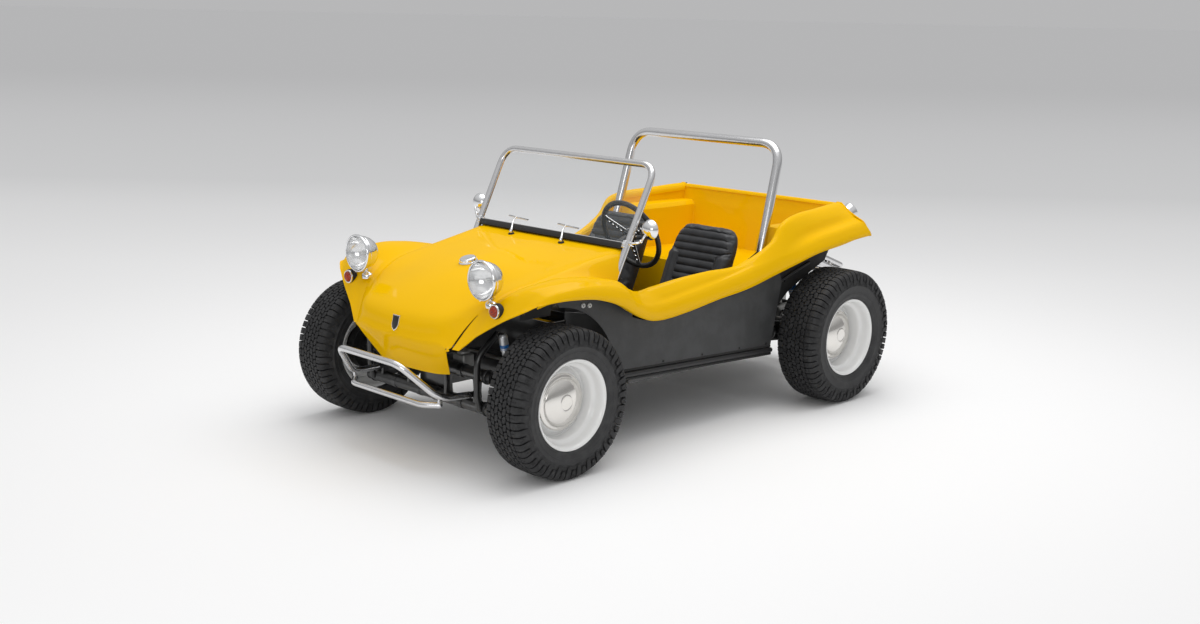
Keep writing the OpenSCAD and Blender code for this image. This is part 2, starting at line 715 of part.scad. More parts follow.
module suspension_arms() {
    color(black) at_car() both_sides() {
        // Trailing arms and the kingpin boss that they carry
        difference() {
            union() {
                for (z = beam_z) {
                    hull() for (y = [front_beam_y, front_axle_y])
                        translate([beam_half_w + fit_gap, y, z]) rotate([0, 90, 0])
                            cylinder(r = y == front_beam_y ? 30 : 24, h = 34, $fn = 32);
                    translate([beam_half_w + 10, front_axle_y, z]) rotate([0, 90, 0])
                        cylinder(r = arm_r - 2, h = kingpin_x - beam_half_w - 10, $fn = 32);
                }
                translate([kingpin_x, front_axle_y, boss_z]) cylinder(r = 24, h = boss_h, $fn = 48);
            }
            translate([kingpin_x, front_axle_y, 0])
                cylinder(r = kingpin_r + running_gap, h = 900, $fn = 48);
        }
        // Rear spring plate
        hull() {
            translate([torsion_end_x + fit_gap, torsion_y, torsion_z]) rotate([0, 90, 0])
                cylinder(r = 56, h = 12, $fn = 32);
            translate([torsion_end_x + fit_gap, rear_axle_y - 10, rear_tyre_r]) rotate([0, 90, 0])
                cylinder(r = 46, h = 12, $fn = 32);
        }
    }
}

tie_rod_z = front_tyre_r + 85;
steer_arm_z = tie_rod_z + 16;
steer_eye = [-16, 100];

module knuckle() {
    translate([kingpin_x, front_axle_y, 0]) {
        translate([0, 0, boss_z - fit_gap - yoke_h])
            cylinder(r = kingpin_r, h = boss_h + 2 * (yoke_h + fit_gap), $fn = 48);
        // Yoke above and below the boss
        for (z = [boss_z - fit_gap - yoke_h, boss_z + boss_h + fit_gap]) translate([0, 0, z]) {
            cylinder(r = 24, h = yoke_h, $fn = 48);
            translate([0, -14, 0]) cube([44, 28, yoke_h]);
        }
        translate([27, -14, boss_z - fit_gap - yoke_h])
            cube([17, 28, boss_h + 2 * (yoke_h + fit_gap)]);
        // Spindle
        translate([40, 0, front_tyre_r]) rotate([0, 90, 0])
            cylinder(r = spindle_r, h = spindle_l, $fn = 48);
        // Steering arm
        translate([27, 0, steer_arm_z]) cube([14, 92, 14]);
        translate([steer_eye.x, steer_eye.y - 14, steer_arm_z]) cube([41 - steer_eye.x, 28, 14]);
        translate([steer_eye.x, steer_eye.y, steer_arm_z]) cylinder(r = 17, h = 14, $fn = 48);
    }
}

module left_knuckle() {
    color(alloy) at_car() knuckle();
}

module right_knuckle() {
    color(alloy) at_car() mirror([1, 0, 0]) knuckle();
}

module tie_rods() {
    end_x = kingpin_x + steer_eye.x;
    y = front_axle_y + steer_eye.y;
    color(alloy) at_car() {
        translate([-end_x, y, tie_rod_z]) rotate([0, 90, 0]) cylinder(r = 9, h = 2 * end_x, $fn = 32);
        both_sides() translate([end_x, y, tie_rod_z - 14])
            cylinder(r = 16, h = 14 + steer_arm_z - tie_rod_z - fit_gap, $fn = 32);
    }
}

module shock_absorbers() {
    color(alloy) at_car() both_sides() {
        rod([456, front_axle_y - 60, beam_z[1] + 30.8], [446, front_axle_y - 84, 618], 21);
        rod([538, 1000, 415], [530, 900, 640], 26);
        rod([538, 984, 400], [torsion_end_x, 984, 400], 9);
    }
}

// ---------- Rear running gear ----------

torsion_y = 664;
torsion_z = 400;
torsion_end_x = 571;
torsion_r = 52;
gearbox_y = 722;
engine_front_y = 1086;

module transaxle() {
    color(alloy) at_car() {
        // Torsion tube housing across the car
        translate([-torsion_end_x, torsion_y, torsion_z]) rotate([0, 90, 0])
            cylinder(r = torsion_r, h = 2 * torsion_end_x, $fn = 48);
        // Gearbox with the axle tubes
        translate([-110, torsion_y, rear_tyre_r - 100])
            cube([220, engine_front_y - fit_gap - torsion_y, 220]);
        translate([-torsion_end_x, rear_axle_y, rear_tyre_r]) rotate([0, 90, 0])
            cylinder(r = 38, h = 2 * torsion_end_x, $fn = 48);
        // Bearing carrier outside the spring plate, and the stub shaft
        both_sides() {
            translate([torsion_end_x + 2 * fit_gap + 12, rear_axle_y, rear_tyre_r]) rotate([0, 90, 0])
                cylinder(r = 60, h = 30, $fn = 48);
            translate([torsion_end_x + 30, rear_axle_y, rear_tyre_r]) rotate([0, 90, 0])
                cylinder(r = spindle_r, h = spindle_l, $fn = 48);
        }
    }
}

module engine() {
    color(alloy) at_car() {
        translate([-130, engine_front_y, 250]) cube([260, 330, 230]);
        both_sides() translate([130, engine_front_y + 20, 300]) cube([200, 270, 130]);
        translate([0, engine_front_y + 330, rear_tyre_r]) rotate([-90, 0, 0])
            cylinder(r = 82, h = 30, $fn = 64);
    }
}

module cooling_housing() {
    color(black) at_car() {
        translate([-190, 1216, 480 + fit_gap]) cube([380, 150, 245]);
        translate([0, 1366, 620]) rotate([-90, 0, 0]) cylinder(r = 55, h = 100, $fn = 48);
    }
}

tail_pipe_x = 120;
tail_pipe_r = 17;
tail_pipe_end = 80;
tail_pipe_bore_l = 60;

module exhaust() {
    color(chrome) at_car() {
        both_sides() tube(bend([[280, engine_front_y + 100, 300 - fit_gap],
            [280, engine_front_y + 100, 235], [260, 1500, 232]], 34, 4), 19, [1, 0, 0], 14);
        difference() {
            union() {
                translate([-300, 1505, 250]) rotate([0, 90, 0]) cylinder(r = 55, h = 600, $fn = 48);
                // Tail pipes
                for (x = [-tail_pipe_x, tail_pipe_x]) translate([x, 1505, 250]) rotate([-90, 0, 0])
                    cylinder(r = tail_pipe_r + 2, h = tail_pipe_end, $fn = 48);
            }
            for (x = [-tail_pipe_x, tail_pipe_x])
                translate([x, 1505 + tail_pipe_end - tail_pipe_bore_l, 250]) rotate([-90, 0, 0])
                    cylinder(r = tail_pipe_r, h = tail_pipe_bore_l + 1, $fn = 48);
        }
    }
}

// ---------- Wheels ----------

// Wheel pieces turn about Z here, with the outer side up and the tyre's middle at Z = 0
bead_r = 190;

// Tyre of radius r and width w on a rim that is rim_w wide over its flanges
module tyre(r, w, rim_w) {
    h = w / 2;
    f = rim_w / 2;
    skin = [[bead_r + 2 + fit_gap, f - 17], [rim_flange_r + fit_gap, f - 4.5],
        [rim_flange_r + 6, f + 3], [bead_r + 40, h - 3], [r - 85, h], [r - 42, h - 5],
        [r - 16, h - 16], [r - 4, h - 34], [r, 0]];
    inside = [[r - 22, 0], [r - 24, h - 42], [r - 60, h - 16], [bead_r + 34, h - 18],
        [bead_r + 2 + fit_gap, f - 38]];
    color(rubber) rotate_extrude($fn = 96) polygon(concat(skin, inside));
    color(rubber) mirror([0, 0, 1]) rotate_extrude($fn = 96) polygon(concat(skin, inside));
}

// Steel rim with a dished disc; face is the height of the outer flange, disc of the hub face
module rim(face, w, disc) {
    back = face - w;
    color(white) rotate_extrude($fn = 96) {
        polygon([[rim_flange_r, face], [rim_flange_r, face - 4], [bead_r + 2, face - 16],
            [bead_r, face - 50], [bead_r - 20, face - 62], [bead_r - 20, back + 70],
            [bead_r, back + 50], [bead_r + 2, back + 16], [rim_flange_r, back + 4],
            [rim_flange_r, back], [bead_r - 2, back + 12], [bead_r - 5, back + 48],
            [bead_r - 25, back + 66], [bead_r - 25, face - 66], [bead_r - 5, face - 48],
            [bead_r - 2, face - 12]]);
        polygon([[hub_bore_r, disc], [100, disc], [128, disc + 12], [bead_r - 25 + 1, disc - 20],
            [bead_r - 25 + 1, disc - 26], [126, disc + 5], [102, disc - 6], [hub_bore_r, disc - 6]]);
    }
}

hub_bore_r = 40;
spindle_r = 15;
spindle_l = 120;

module hubcap(seat) {
    color(chrome) translate([0, 0, seat]) rotate_extrude($fn = 96) {
        polygon(concat([for (k = [0 : 6 : 90]) [hubcap_r * cos(k), 42 * sin(k)]],
            [for (k = [90 : -6 : 0]) [(hubcap_r - 3) * cos(k), 39 * sin(k)]]));
    }
}

module drum(disc) {
    color(black) rotate_extrude($fn = 96)
        polygon([[spindle_r + running_gap, disc - 6 - fit_gap], [118, disc - 6 - fit_gap],
            [118, disc - 62], [112, disc - 62], [112, disc - 16], [38, disc - 16],
            [38, disc - 66], [spindle_r + running_gap, disc - 66]]);
}

front_face = 826 - front_half_track;
rear_face = 857 - rear_half_track;
front_disc = front_face - 96;
rear_disc = rear_face - 110;
front_rim_w = 196;
rear_rim_w = 210;

module front_wheel_at() {
    at_car() translate([front_half_track, front_axle_y, front_tyre_r]) rotate([0, 90, 0]) children();
}

module rear_wheel_at() {
    at_car() translate([rear_half_track, rear_axle_y, rear_tyre_r]) rotate([0, 90, 0]) children();
}

module right() {
    mirror([1, 0, 0]) children();
}

module front_left_tyre() { front_wheel_at() tyre(front_tyre_r, front_tyre_w, front_rim_w); }
module front_left_rim() { front_wheel_at() rim(front_face, front_rim_w, front_disc); }
module front_left_hubcap() { front_wheel_at() hubcap(front_disc + 12 + fit_gap); }
module front_left_drum() { front_wheel_at() drum(front_disc); }
module front_right_tyre() { right() front_left_tyre(); }
module front_right_rim() { right() front_left_rim(); }
module front_right_hubcap() { right() front_left_hubcap(); }
module front_right_drum() { right() front_left_drum(); }
module rear_left_tyre() { rear_wheel_at() tyre(rear_tyre_r, rear_tyre_w, rear_rim_w); }
module rear_left_rim() { rear_wheel_at() rim(rear_face, rear_rim_w, rear_disc); }
module rear_left_hubcap() { rear_wheel_at() hubcap(rear_disc + 12 + fit_gap); }
module rear_left_drum() { rear_wheel_at() drum(rear_disc); }
module rear_right_tyre() { right() rear_left_tyre(); }
module rear_right_rim() { right() rear_left_rim(); }
module rear_right_hubcap() { right() rear_left_hubcap(); }
module rear_right_drum() { right() rear_left_drum(); }

body_shell();
hood();
side_panels();
floor_pan();
dashboard();
windshield_frame();
windshield_glass();
wipers();
headlights();
headlight_lenses();
signal_lights();
mirrors();
hood_trim();
front_bumper();
rear_bumper();
roll_bar();
driver_seat();
passenger_seat();
steering_column();
steering_wheel();
floor_controls();
front_beam();
suspension_arms();
shock_absorbers();
left_knuckle();
right_knuckle();
tie_rods();
transaxle();
engine();
cooling_housing();
exhaust();
front_left_tyre();
front_left_rim();
front_left_hubcap();
front_left_drum();
front_right_tyre();
front_right_rim();
front_right_hubcap();
front_right_drum();
rear_left_tyre();
rear_left_rim();
rear_left_hubcap();
rear_left_drum();
rear_right_tyre();
rear_right_rim();
rear_right_hubcap();
rear_right_drum();
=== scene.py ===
"""Looks of an open two-seat dune buggy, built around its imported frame."""
import sys

import json
import math

import bmesh
import bpy
import numpy as np
from mathutils import Matrix, Vector
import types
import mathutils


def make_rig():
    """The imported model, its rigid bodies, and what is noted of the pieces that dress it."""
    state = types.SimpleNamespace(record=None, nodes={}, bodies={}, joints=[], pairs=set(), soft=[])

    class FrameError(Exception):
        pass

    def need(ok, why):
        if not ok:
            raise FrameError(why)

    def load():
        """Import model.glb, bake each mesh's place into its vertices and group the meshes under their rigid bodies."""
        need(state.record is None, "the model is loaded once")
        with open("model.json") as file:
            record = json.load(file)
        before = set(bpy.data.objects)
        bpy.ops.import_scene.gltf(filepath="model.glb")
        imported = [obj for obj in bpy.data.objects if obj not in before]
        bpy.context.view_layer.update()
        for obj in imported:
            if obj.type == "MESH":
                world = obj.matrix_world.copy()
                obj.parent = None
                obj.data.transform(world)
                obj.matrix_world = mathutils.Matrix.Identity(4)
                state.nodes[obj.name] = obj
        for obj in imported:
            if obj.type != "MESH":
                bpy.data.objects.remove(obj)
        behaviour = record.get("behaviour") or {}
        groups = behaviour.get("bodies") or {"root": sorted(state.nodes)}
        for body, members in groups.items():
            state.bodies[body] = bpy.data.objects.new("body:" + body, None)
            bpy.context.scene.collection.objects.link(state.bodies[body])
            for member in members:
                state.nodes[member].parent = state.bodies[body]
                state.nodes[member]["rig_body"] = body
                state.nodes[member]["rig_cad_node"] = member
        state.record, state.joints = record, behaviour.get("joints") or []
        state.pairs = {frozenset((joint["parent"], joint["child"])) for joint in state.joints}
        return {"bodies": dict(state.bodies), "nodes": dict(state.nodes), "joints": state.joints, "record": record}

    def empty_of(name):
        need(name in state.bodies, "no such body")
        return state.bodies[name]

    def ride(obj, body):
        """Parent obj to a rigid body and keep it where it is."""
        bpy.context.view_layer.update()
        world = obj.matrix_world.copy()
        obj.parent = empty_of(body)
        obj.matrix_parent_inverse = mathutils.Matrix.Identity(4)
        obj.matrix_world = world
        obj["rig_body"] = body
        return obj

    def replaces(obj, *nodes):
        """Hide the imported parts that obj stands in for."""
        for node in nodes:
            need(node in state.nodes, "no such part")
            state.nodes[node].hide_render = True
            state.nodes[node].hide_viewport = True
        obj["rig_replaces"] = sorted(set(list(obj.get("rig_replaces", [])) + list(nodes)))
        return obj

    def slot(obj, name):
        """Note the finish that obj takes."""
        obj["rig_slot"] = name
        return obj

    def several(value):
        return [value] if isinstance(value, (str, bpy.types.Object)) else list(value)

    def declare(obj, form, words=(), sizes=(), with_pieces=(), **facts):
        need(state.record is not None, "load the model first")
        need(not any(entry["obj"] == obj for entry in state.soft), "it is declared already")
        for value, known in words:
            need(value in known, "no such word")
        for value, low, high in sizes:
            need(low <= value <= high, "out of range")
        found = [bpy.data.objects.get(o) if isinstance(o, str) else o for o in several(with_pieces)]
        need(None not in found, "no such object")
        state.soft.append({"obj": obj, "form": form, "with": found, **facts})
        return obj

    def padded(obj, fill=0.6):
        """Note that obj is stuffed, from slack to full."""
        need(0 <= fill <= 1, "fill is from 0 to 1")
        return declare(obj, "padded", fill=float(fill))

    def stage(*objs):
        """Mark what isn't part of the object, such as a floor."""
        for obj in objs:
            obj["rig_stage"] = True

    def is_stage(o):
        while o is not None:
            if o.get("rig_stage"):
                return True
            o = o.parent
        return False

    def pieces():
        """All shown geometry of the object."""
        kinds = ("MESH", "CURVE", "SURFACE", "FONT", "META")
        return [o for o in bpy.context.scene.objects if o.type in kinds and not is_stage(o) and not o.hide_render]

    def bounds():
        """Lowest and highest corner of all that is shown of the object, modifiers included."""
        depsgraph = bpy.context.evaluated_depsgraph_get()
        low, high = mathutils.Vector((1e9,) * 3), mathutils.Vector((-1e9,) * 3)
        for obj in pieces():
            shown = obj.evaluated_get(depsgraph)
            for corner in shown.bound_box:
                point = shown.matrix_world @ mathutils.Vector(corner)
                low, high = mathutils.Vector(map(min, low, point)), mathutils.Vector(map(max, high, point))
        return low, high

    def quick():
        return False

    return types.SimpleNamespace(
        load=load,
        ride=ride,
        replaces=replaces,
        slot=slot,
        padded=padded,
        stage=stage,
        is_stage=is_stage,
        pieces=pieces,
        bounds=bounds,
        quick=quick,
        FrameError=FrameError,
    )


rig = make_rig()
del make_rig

bl_info = {
    "name": "Dune buggy looks",
    "version": (1, 0, 0),
    "blender": (4, 5, 0),
    "location": "3D View > Sidebar > Buggy",
    "description": "Body skins, wheels, seats, running gear and a studio for an open dune buggy",
    "category": "Object",
}

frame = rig.load()
NODES = frame["nodes"]
CAD_BOX = [list(corner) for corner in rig.bounds()]

MM = 0.001
ACROSS, BACK, UP = (1, 0, 0), (0, 1, 0), (0, 0, 1)
# The part's own lines are given from the middle of its wheelbase
FRONT_AXLE = Vector((0, -1.043, 0.345))
REAR_AXLE = Vector((0, 0.989, 0.361))
SHIFT = -27.0


# ---------- Settings ----------

class BuggyPaint(bpy.types.PropertyGroup):
    yellow: bpy.props.FloatVectorProperty(
        name="Body", description="Gelcoat colour of the moulded body", subtype="COLOR",
        size=3, min=0, max=1, default=(0.895, 0.510, 0.0015))
    charcoal: bpy.props.FloatVectorProperty(
        name="Side panels", description="Colour of the flat side panels", subtype="COLOR",
        size=3, min=0, max=1, default=(0.038, 0.039, 0.040))
    enamel: bpy.props.FloatVectorProperty(
        name="Steel wheels", description="Enamel on the wheels", subtype="COLOR",
        size=3, min=0, max=1, default=(0.83, 0.83, 0.82))
    vinyl: bpy.props.FloatVectorProperty(
        name="Seats", description="Colour of the seat vinyl", subtype="COLOR",
        size=3, min=0, max=1, default=(0.0185, 0.0195, 0.0225))


class BuggySizes(bpy.types.PropertyGroup):
    skin: bpy.props.FloatProperty(
        name="Skin", description="Thickness of the moulded skins", subtype="DISTANCE",
        default=0.005, min=0.003, max=0.008)
    lug_depth: bpy.props.FloatProperty(
        name="Lug depth", description="Depth of the tread", subtype="DISTANCE",
        default=0.011, min=0.006, max=0.016)
    front_pitches: bpy.props.IntProperty(
        name="Front pitches", description="Tread pitches round a front tyre", default=30, min=24, max=60)
    rear_pitches: bpy.props.IntProperty(
        name="Rear pitches", description="Tread pitches round a rear tyre", default=32, min=24, max=60)
    pleats: bpy.props.IntProperty(
        name="Pleats", description="Sewn channels in each seat back", default=13, min=6, max=16)
    crown: bpy.props.FloatProperty(
        name="Pad crown", description="How far a seat pad may swell", subtype="DISTANCE",
        default=0.012, min=0.004, max=0.03)


def sizes():
    return bpy.context.scene.buggy_sizes


def paints():
    return bpy.context.scene.buggy_paint


# ---------- Shader maths ----------

class Field:
    """A shader socket that takes part in Python arithmetic."""

    def __init__(self, finish, socket):
        self.finish = finish
        self.socket = socket

    def _math(self, operation, *others):
        return self.finish.node("ShaderNodeMath", {"operation": operation}, *others)

    def __add__(self, other):
        return self._math("ADD", self, other)

    __radd__ = __add__

    def __sub__(self, other):
        return self._math("SUBTRACT", self, other)

    def __rsub__(self, other):
        return self._math("SUBTRACT", other, self)

    def __mul__(self, other):
        return self._math("MULTIPLY", self, other)

    __rmul__ = __mul__

    def power(self, other):
        return self._math("POWER", self, other)

    def absolute(self):
        return self._math("ABSOLUTE", self)

    def between(self, low, high):
        """0 at low and 1 at high, smoothly."""
        return self.finish.node("ShaderNodeMapRange", {"interpolation_type": "SMOOTHSTEP"},
                                self, low, high, 0.0, 1.0)

    def wave(self):
        return self._math("SINE", self)


class Finish:
    """A material being written, with one Principled shader."""

    def __init__(self, name, **values):
        self.material = bpy.data.materials.new(name)
        self.material.use_nodes = True
        self.tree = self.material.node_tree
        self.tree.nodes.clear()
        self.out = self.tree.nodes.new("ShaderNodeOutputMaterial")
        self.shader = self.tree.nodes.new("ShaderNodeBsdfPrincipled")
        self.tree.links.new(self.shader.outputs[0], self.out.inputs["Surface"])
        self.set(**values)

    def set(self, **values):
        for key, value in values.items():
            self._feed(self.shader.inputs[key.replace("_", " ")], value)
        return self

    def _feed(self, socket, value):
        if isinstance(value, Field):
            self.tree.links.new(value.socket, socket)
        elif value is not None:
            if (hasattr(socket.default_value, "__len__")
                    and len(socket.default_value) == 4 and len(value) == 3):
                value = (*value, 1.0)
            socket.default_value = value

    def node(self, kind, settings=None, *inputs, output=0, **named):
        """A node with its settings made first, then its sockets in order or by name."""
        made = self.tree.nodes.new(kind)
        for key, value in (settings or {}).items():
            if key == "stops":
                ramp = made.color_ramp
                while len(ramp.elements) < len(value):
                    ramp.elements.new(0.5)
                for element, (place, colour) in zip(ramp.elements, value):
                    element.position = place
                    element.color = (*colour, 1.0) if len(colour) == 3 else colour
            else:
                setattr(made, key, value)
        enabled = [s for s in made.inputs if s.enabled]
        for socket, value in zip(enabled, inputs):
            self._feed(socket, value)
        for key, value in named.items():
            self._feed(next(s for s in enabled if s.name == key.replace("_", " ")), value)
        outputs = [s for s in made.outputs if s.enabled]
        return Field(self, outputs[output] if isinstance(output, int) else made.outputs[output])

    def place(self):
        return self.node("ShaderNodeTexCoord", None, output="Object")

    def along(self, axis):
        return self.node("ShaderNodeSeparateXYZ", None, self.place(), output=axis)

    def stretched(self, scale):
        return self.node("ShaderNodeMapping", None, self.place(), Scale=scale)

    def noise(self, scale, detail=3.0, rough=0.5, at=None):
        return self.node("ShaderNodeTexNoise", None, Vector=at or self.place(), Scale=scale,
                         Detail=detail, Roughness=rough)

    def cells(self, scale):
        return self.node("ShaderNodeTexVoronoi", None, Vector=self.place(), Scale=scale)

    def mix(self, factor, low, high):
        return self.node("ShaderNodeMix", {"data_type": "RGBA"}, factor, low, high)

    def bump(self, height, strength=0.3, distance=0.001):
        return self.node("ShaderNodeBump", None, Height=height, Strength=strength, Distance=distance)


def scaled(colour, by):
    return tuple(min(1.0, c * by) for c in colour)


MATERIALS = {}


def finish_of(name):
    """The finished material of that name, written the first time it is asked for."""
    if name not in MATERIALS:
        MATERIALS[name] = FINISHES[name]().material
    return MATERIALS[name]


FINISHES = {}


def add_finish(name, tone, colours=None, span=None, rough=None, height=None, bump=None, **constants):
    """Lists a finish that is written when it is first asked for.

    tone is a noise (scale, detail, roughness) and span the part of it that runs between the two
    colours, which may also be a setting and two shades of it. rough is its base, its gain and,
    where it does not follow the tone, a noise of its own. bump is strength and distance.
    """
    def write():
        f = Finish(name, **constants)
        made = {}

        def field_of(source):
            if source not in made:
                made[source] = source(f) if callable(source) else f.noise(*source)
            return made[source]

        field = field_of(tone)
        if colours:
            low, high = colours[-2:]
            if isinstance(colours[0], str):
                base = tuple(getattr(paints(), colours[0]))
                low, high = scaled(base, low), scaled(base, high)
            f.set(Base_Color=f.mix(field.between(*span) if span else field, low, high))
        if rough:
            base, gain, *own = rough
            f.set(Roughness=base + gain * (field_of(tuple(own)) if own else field))
        if bump:
            f.set(Normal=f.bump(field_of(height) if height else field, *bump))
        return f
    FINISHES[name] = write


def grey(level):
    return (level, level, level)


add_finish("yellow_gelcoat", (1.7, 2.0), ("yellow", 0.97, 1.02), (0.3, 0.7), None, (260.0, 2.0),
           (0.05, 0.0004), Roughness=0.35, Coat_Weight=0.24, Coat_Roughness=0.02, Specular_IOR_Level=0.0)
# Near-black for the skins' insides and the inner fenders; on the sill it is painted groove shade.
add_finish("underside_black", (90.0, 4.0), rough=(0.62, 0.2), bump=(0.5, 0.0015), Base_Color=grey(0.012))
add_finish("charcoal_panel", (9.0, 4.0, 0.6), ("charcoal", 0.85, 1.25), (0.35, 0.68), (0.44, 0.16),
           lambda f: f.noise(420.0, 3.0) + f.noise(9.0, 4.0, 0.6), (0.12, 0.0008))
add_finish("satin_black", (300.0, 3.0), rough=(0.34, 0.14), bump=(0.1, 0.0004),
           Base_Color=(0.014, 0.014, 0.015))
add_finish("chassis_enamel", (14.0, 4.0, 0.6), (grey(0.006), (0.019, 0.018, 0.017)), (0.5, 0.8),
           (0.28, 0.3), (160.0,), (0.15, 0.0006), Coat_Weight=0.6, Coat_Roughness=0.12)
add_finish("polished_tube", lambda f: f.noise(40.0, 3.0, at=f.stretched((1.0, 9.0, 2.0))),
           ((0.60, 0.60, 0.61), (0.76, 0.76, 0.77)), rough=(0.15, 0.14, 6.0, 3.0),
           bump=(0.03, 0.0003), Metallic=1.0)
add_finish("bright_chrome", (11.0, 2.0), ((0.80, 0.81, 0.82), (0.88, 0.88, 0.89)),
           rough=(0.035, 0.05), Metallic=1.0)
add_finish("cap_steel", (18.0, 3.0), ((0.74, 0.72, 0.68), (0.82, 0.80, 0.77)),
           rough=(0.08, 0.07), Metallic=1.0)
add_finish("wheel_enamel", (8.0, 2.0), ("enamel", 0.97, 1.0), height=(300.0,), bump=(0.04, 0.0004),
           Coat_Weight=0.8, Coat_Roughness=0.05, Roughness=0.3)
add_finish("tyre_rubber", (26.0, 4.0, 0.62), ((0.012, 0.012, 0.013), (0.033, 0.033, 0.034)),
           (0.42, 0.75), (0.58, 0.2), (700.0, 3.0), (0.25, 0.0006))
add_finish("sidewall_rubber", (20.0, 4.0, 0.62), ((0.018, 0.018, 0.019), (0.034, 0.034, 0.035)),
           (0.35, 0.7), (0.5, 0.16), (900.0, 2.0), (0.12, 0.0004))
add_finish("seat_vinyl", (16.0, 3.0), ("vinyl", 0.8, 1.3), (0.35, 0.7), (0.30, 0.14),
           lambda f: f.cells(620.0), (0.22, 0.0007))
add_finish("wheel_wrap", (40.0,), rough=(0.42, 0.15), height=lambda f: f.cells(900.0),
           bump=(0.25, 0.0005), Base_Color=grey(0.012))
add_finish("gasket_rubber", (120.0,), rough=(0.6, 0.15), height=(500.0,), bump=(0.15, 0.0004),
           Base_Color=grey(0.010))
add_finish("ribbed_mat", (60.0,), rough=(0.6, 0.12), height=lambda f: (f.along(0) * 420.0).wave(),
           bump=(0.6, 0.0012), Base_Color=(0.013, 0.013, 0.014))
add_finish("cast_alloy", (7.0, 4.0), ((0.42, 0.42, 0.41), (0.24, 0.235, 0.22)), (0.4, 0.75),
           (0.42, 0.25, 240.0, 5.0, 0.65), (240.0, 5.0, 0.65), (0.4, 0.0008), Metallic=0.85)
add_finish("drum_iron", (200.0, 5.0), (grey(0.022), (0.06, 0.05, 0.045)), (0.5, 0.8),
           (0.5, 0.25), None, (0.4, 0.0008), Metallic=0.4)
add_finish("plated_steel", (60.0, 4.0), ((0.40, 0.39, 0.37), (0.56, 0.55, 0.52)), None,
           (0.28, 0.2), (400.0,), (0.1, 0.0004), Metallic=1.0)
add_finish("shock_silver", (50.0, 3.0), ((0.48, 0.49, 0.50), (0.62, 0.63, 0.64)),
           rough=(0.3, 0.15), Metallic=0.7)
add_finish("band_blue", (30.0,), ((0.01, 0.10, 0.32), (0.015, 0.14, 0.40)),
           rough=(0.35, 0.1, 90.0), Coat_Weight=0.4)
add_finish("exhaust_steel", (12.0, 4.0), ((0.33, 0.31, 0.28), (0.20, 0.16, 0.13)), (0.4, 0.7),
           (0.35, 0.25), (300.0,), (0.15, 0.0005), Metallic=0.9)
add_finish("clear_pane", (4.0,), rough=(0.01, 0.015), Base_Color=(0.62, 0.70, 0.76), IOR=1.45,
           Alpha=0.035)
add_finish("lamp_glass", (20.0,), rough=(0.02, 0.02), height=lambda f: (f.along(0) * 900.0).wave(),
           bump=(0.06, 0.0004), Base_Color=(0.80, 0.83, 0.86), IOR=1.45, Alpha=0.10)
add_finish("lamp_mirror", (20.0,), (grey(0.78), grey(0.9)), rough=(0.12, 0.08, 30.0), Metallic=1.0)
# Each lens is its own deep colour, lightened toward the edge of each cell: the lighter cell edges are painted glints
# of its facets.
for lens, deep, bright in (("amber_lens", (0.06, 0.003, 0.001), (0.36, 0.028, 0.003)),
                           ("red_lens", (0.10, 0.004, 0.004), (0.26, 0.010, 0.008))):
    add_finish(lens, lambda f: f.cells(190.0), (deep, bright), (0.1, 0.6), (0.12, 0.1), None,
               (0.4, 0.001), Coat_Weight=0.35, Coat_Roughness=0.03, Specular_IOR_Level=0.3)
add_finish("gauge_face", (200.0,), rough=(0.4, 0.1), Base_Color=(0.01, 0.01, 0.011),
           Coat_Weight=1.0, Coat_Roughness=0.02)
add_finish("pale_mark", (50.0,), ((0.72, 0.72, 0.70), (0.8, 0.8, 0.78)), rough=(0.4, 0.1, 90.0))


# ---------- Mesh makers ----------

def piece_from(name, verts, faces, finish, smooth=True, merge=0.0, normals=True):
    """A new object from points in metres."""
    mesh = bpy.data.meshes.new(name)
    mesh.from_pydata([tuple(v) for v in verts], [], faces)
    made = bpy.data.objects.new(name, mesh)
    bpy.context.scene.collection.objects.link(made)
    for each in ([finish] if isinstance(finish, str) else finish):
        mesh.materials.append(finish_of(each))
    if merge or normals:
        edit(made, lambda bm: settle(bm, merge, normals))
    shade(made, smooth)
    return made


def settle(bm, merge, normals):
    if merge:
        bmesh.ops.remove_doubles(bm, verts=bm.verts, dist=merge)
    if normals:
        bmesh.ops.recalc_face_normals(bm, faces=bm.faces)


def edit(made, change):
    bm = bmesh.new()
    bm.from_mesh(made.data)
    change(bm)
    bm.to_mesh(made.data)
    bm.free()


def shade(made, smooth=True, angle=35):
    for polygon in made.data.polygons:
        polygon.use_smooth = smooth
    if smooth and angle:
        made.data.set_sharp_from_angle(angle=math.radians(angle))


def modified(made, kind, **settings):
    """made with one modifier worked into its mesh."""
    modifier = made.modifiers.new(kind.lower(), kind)
    for key, value in settings.items():
        setattr(modifier, key, value)
    return baked(made)


def baked(made):
    bpy.context.view_layer.update()
    shaped = made.evaluated_get(bpy.context.evaluated_depsgraph_get())
    mesh = bpy.data.meshes.new_from_object(shaped)
    made.modifiers.clear()
    old = made.data
    made.data = mesh
    bpy.data.meshes.remove(old)
    return made


def bevelled(made, width, segments=3, angle=30):
    made = modified(made, "BEVEL", width=width, segments=segments, limit_method="ANGLE",
                    angle_limit=math.radians(angle), harden_normals=False)
    shade(made, True, 40)
    return made


def moved(made, matrix):
    made.data.transform(matrix)
    if matrix.determinant() < 0:
        made.data.flip_normals()
    return made


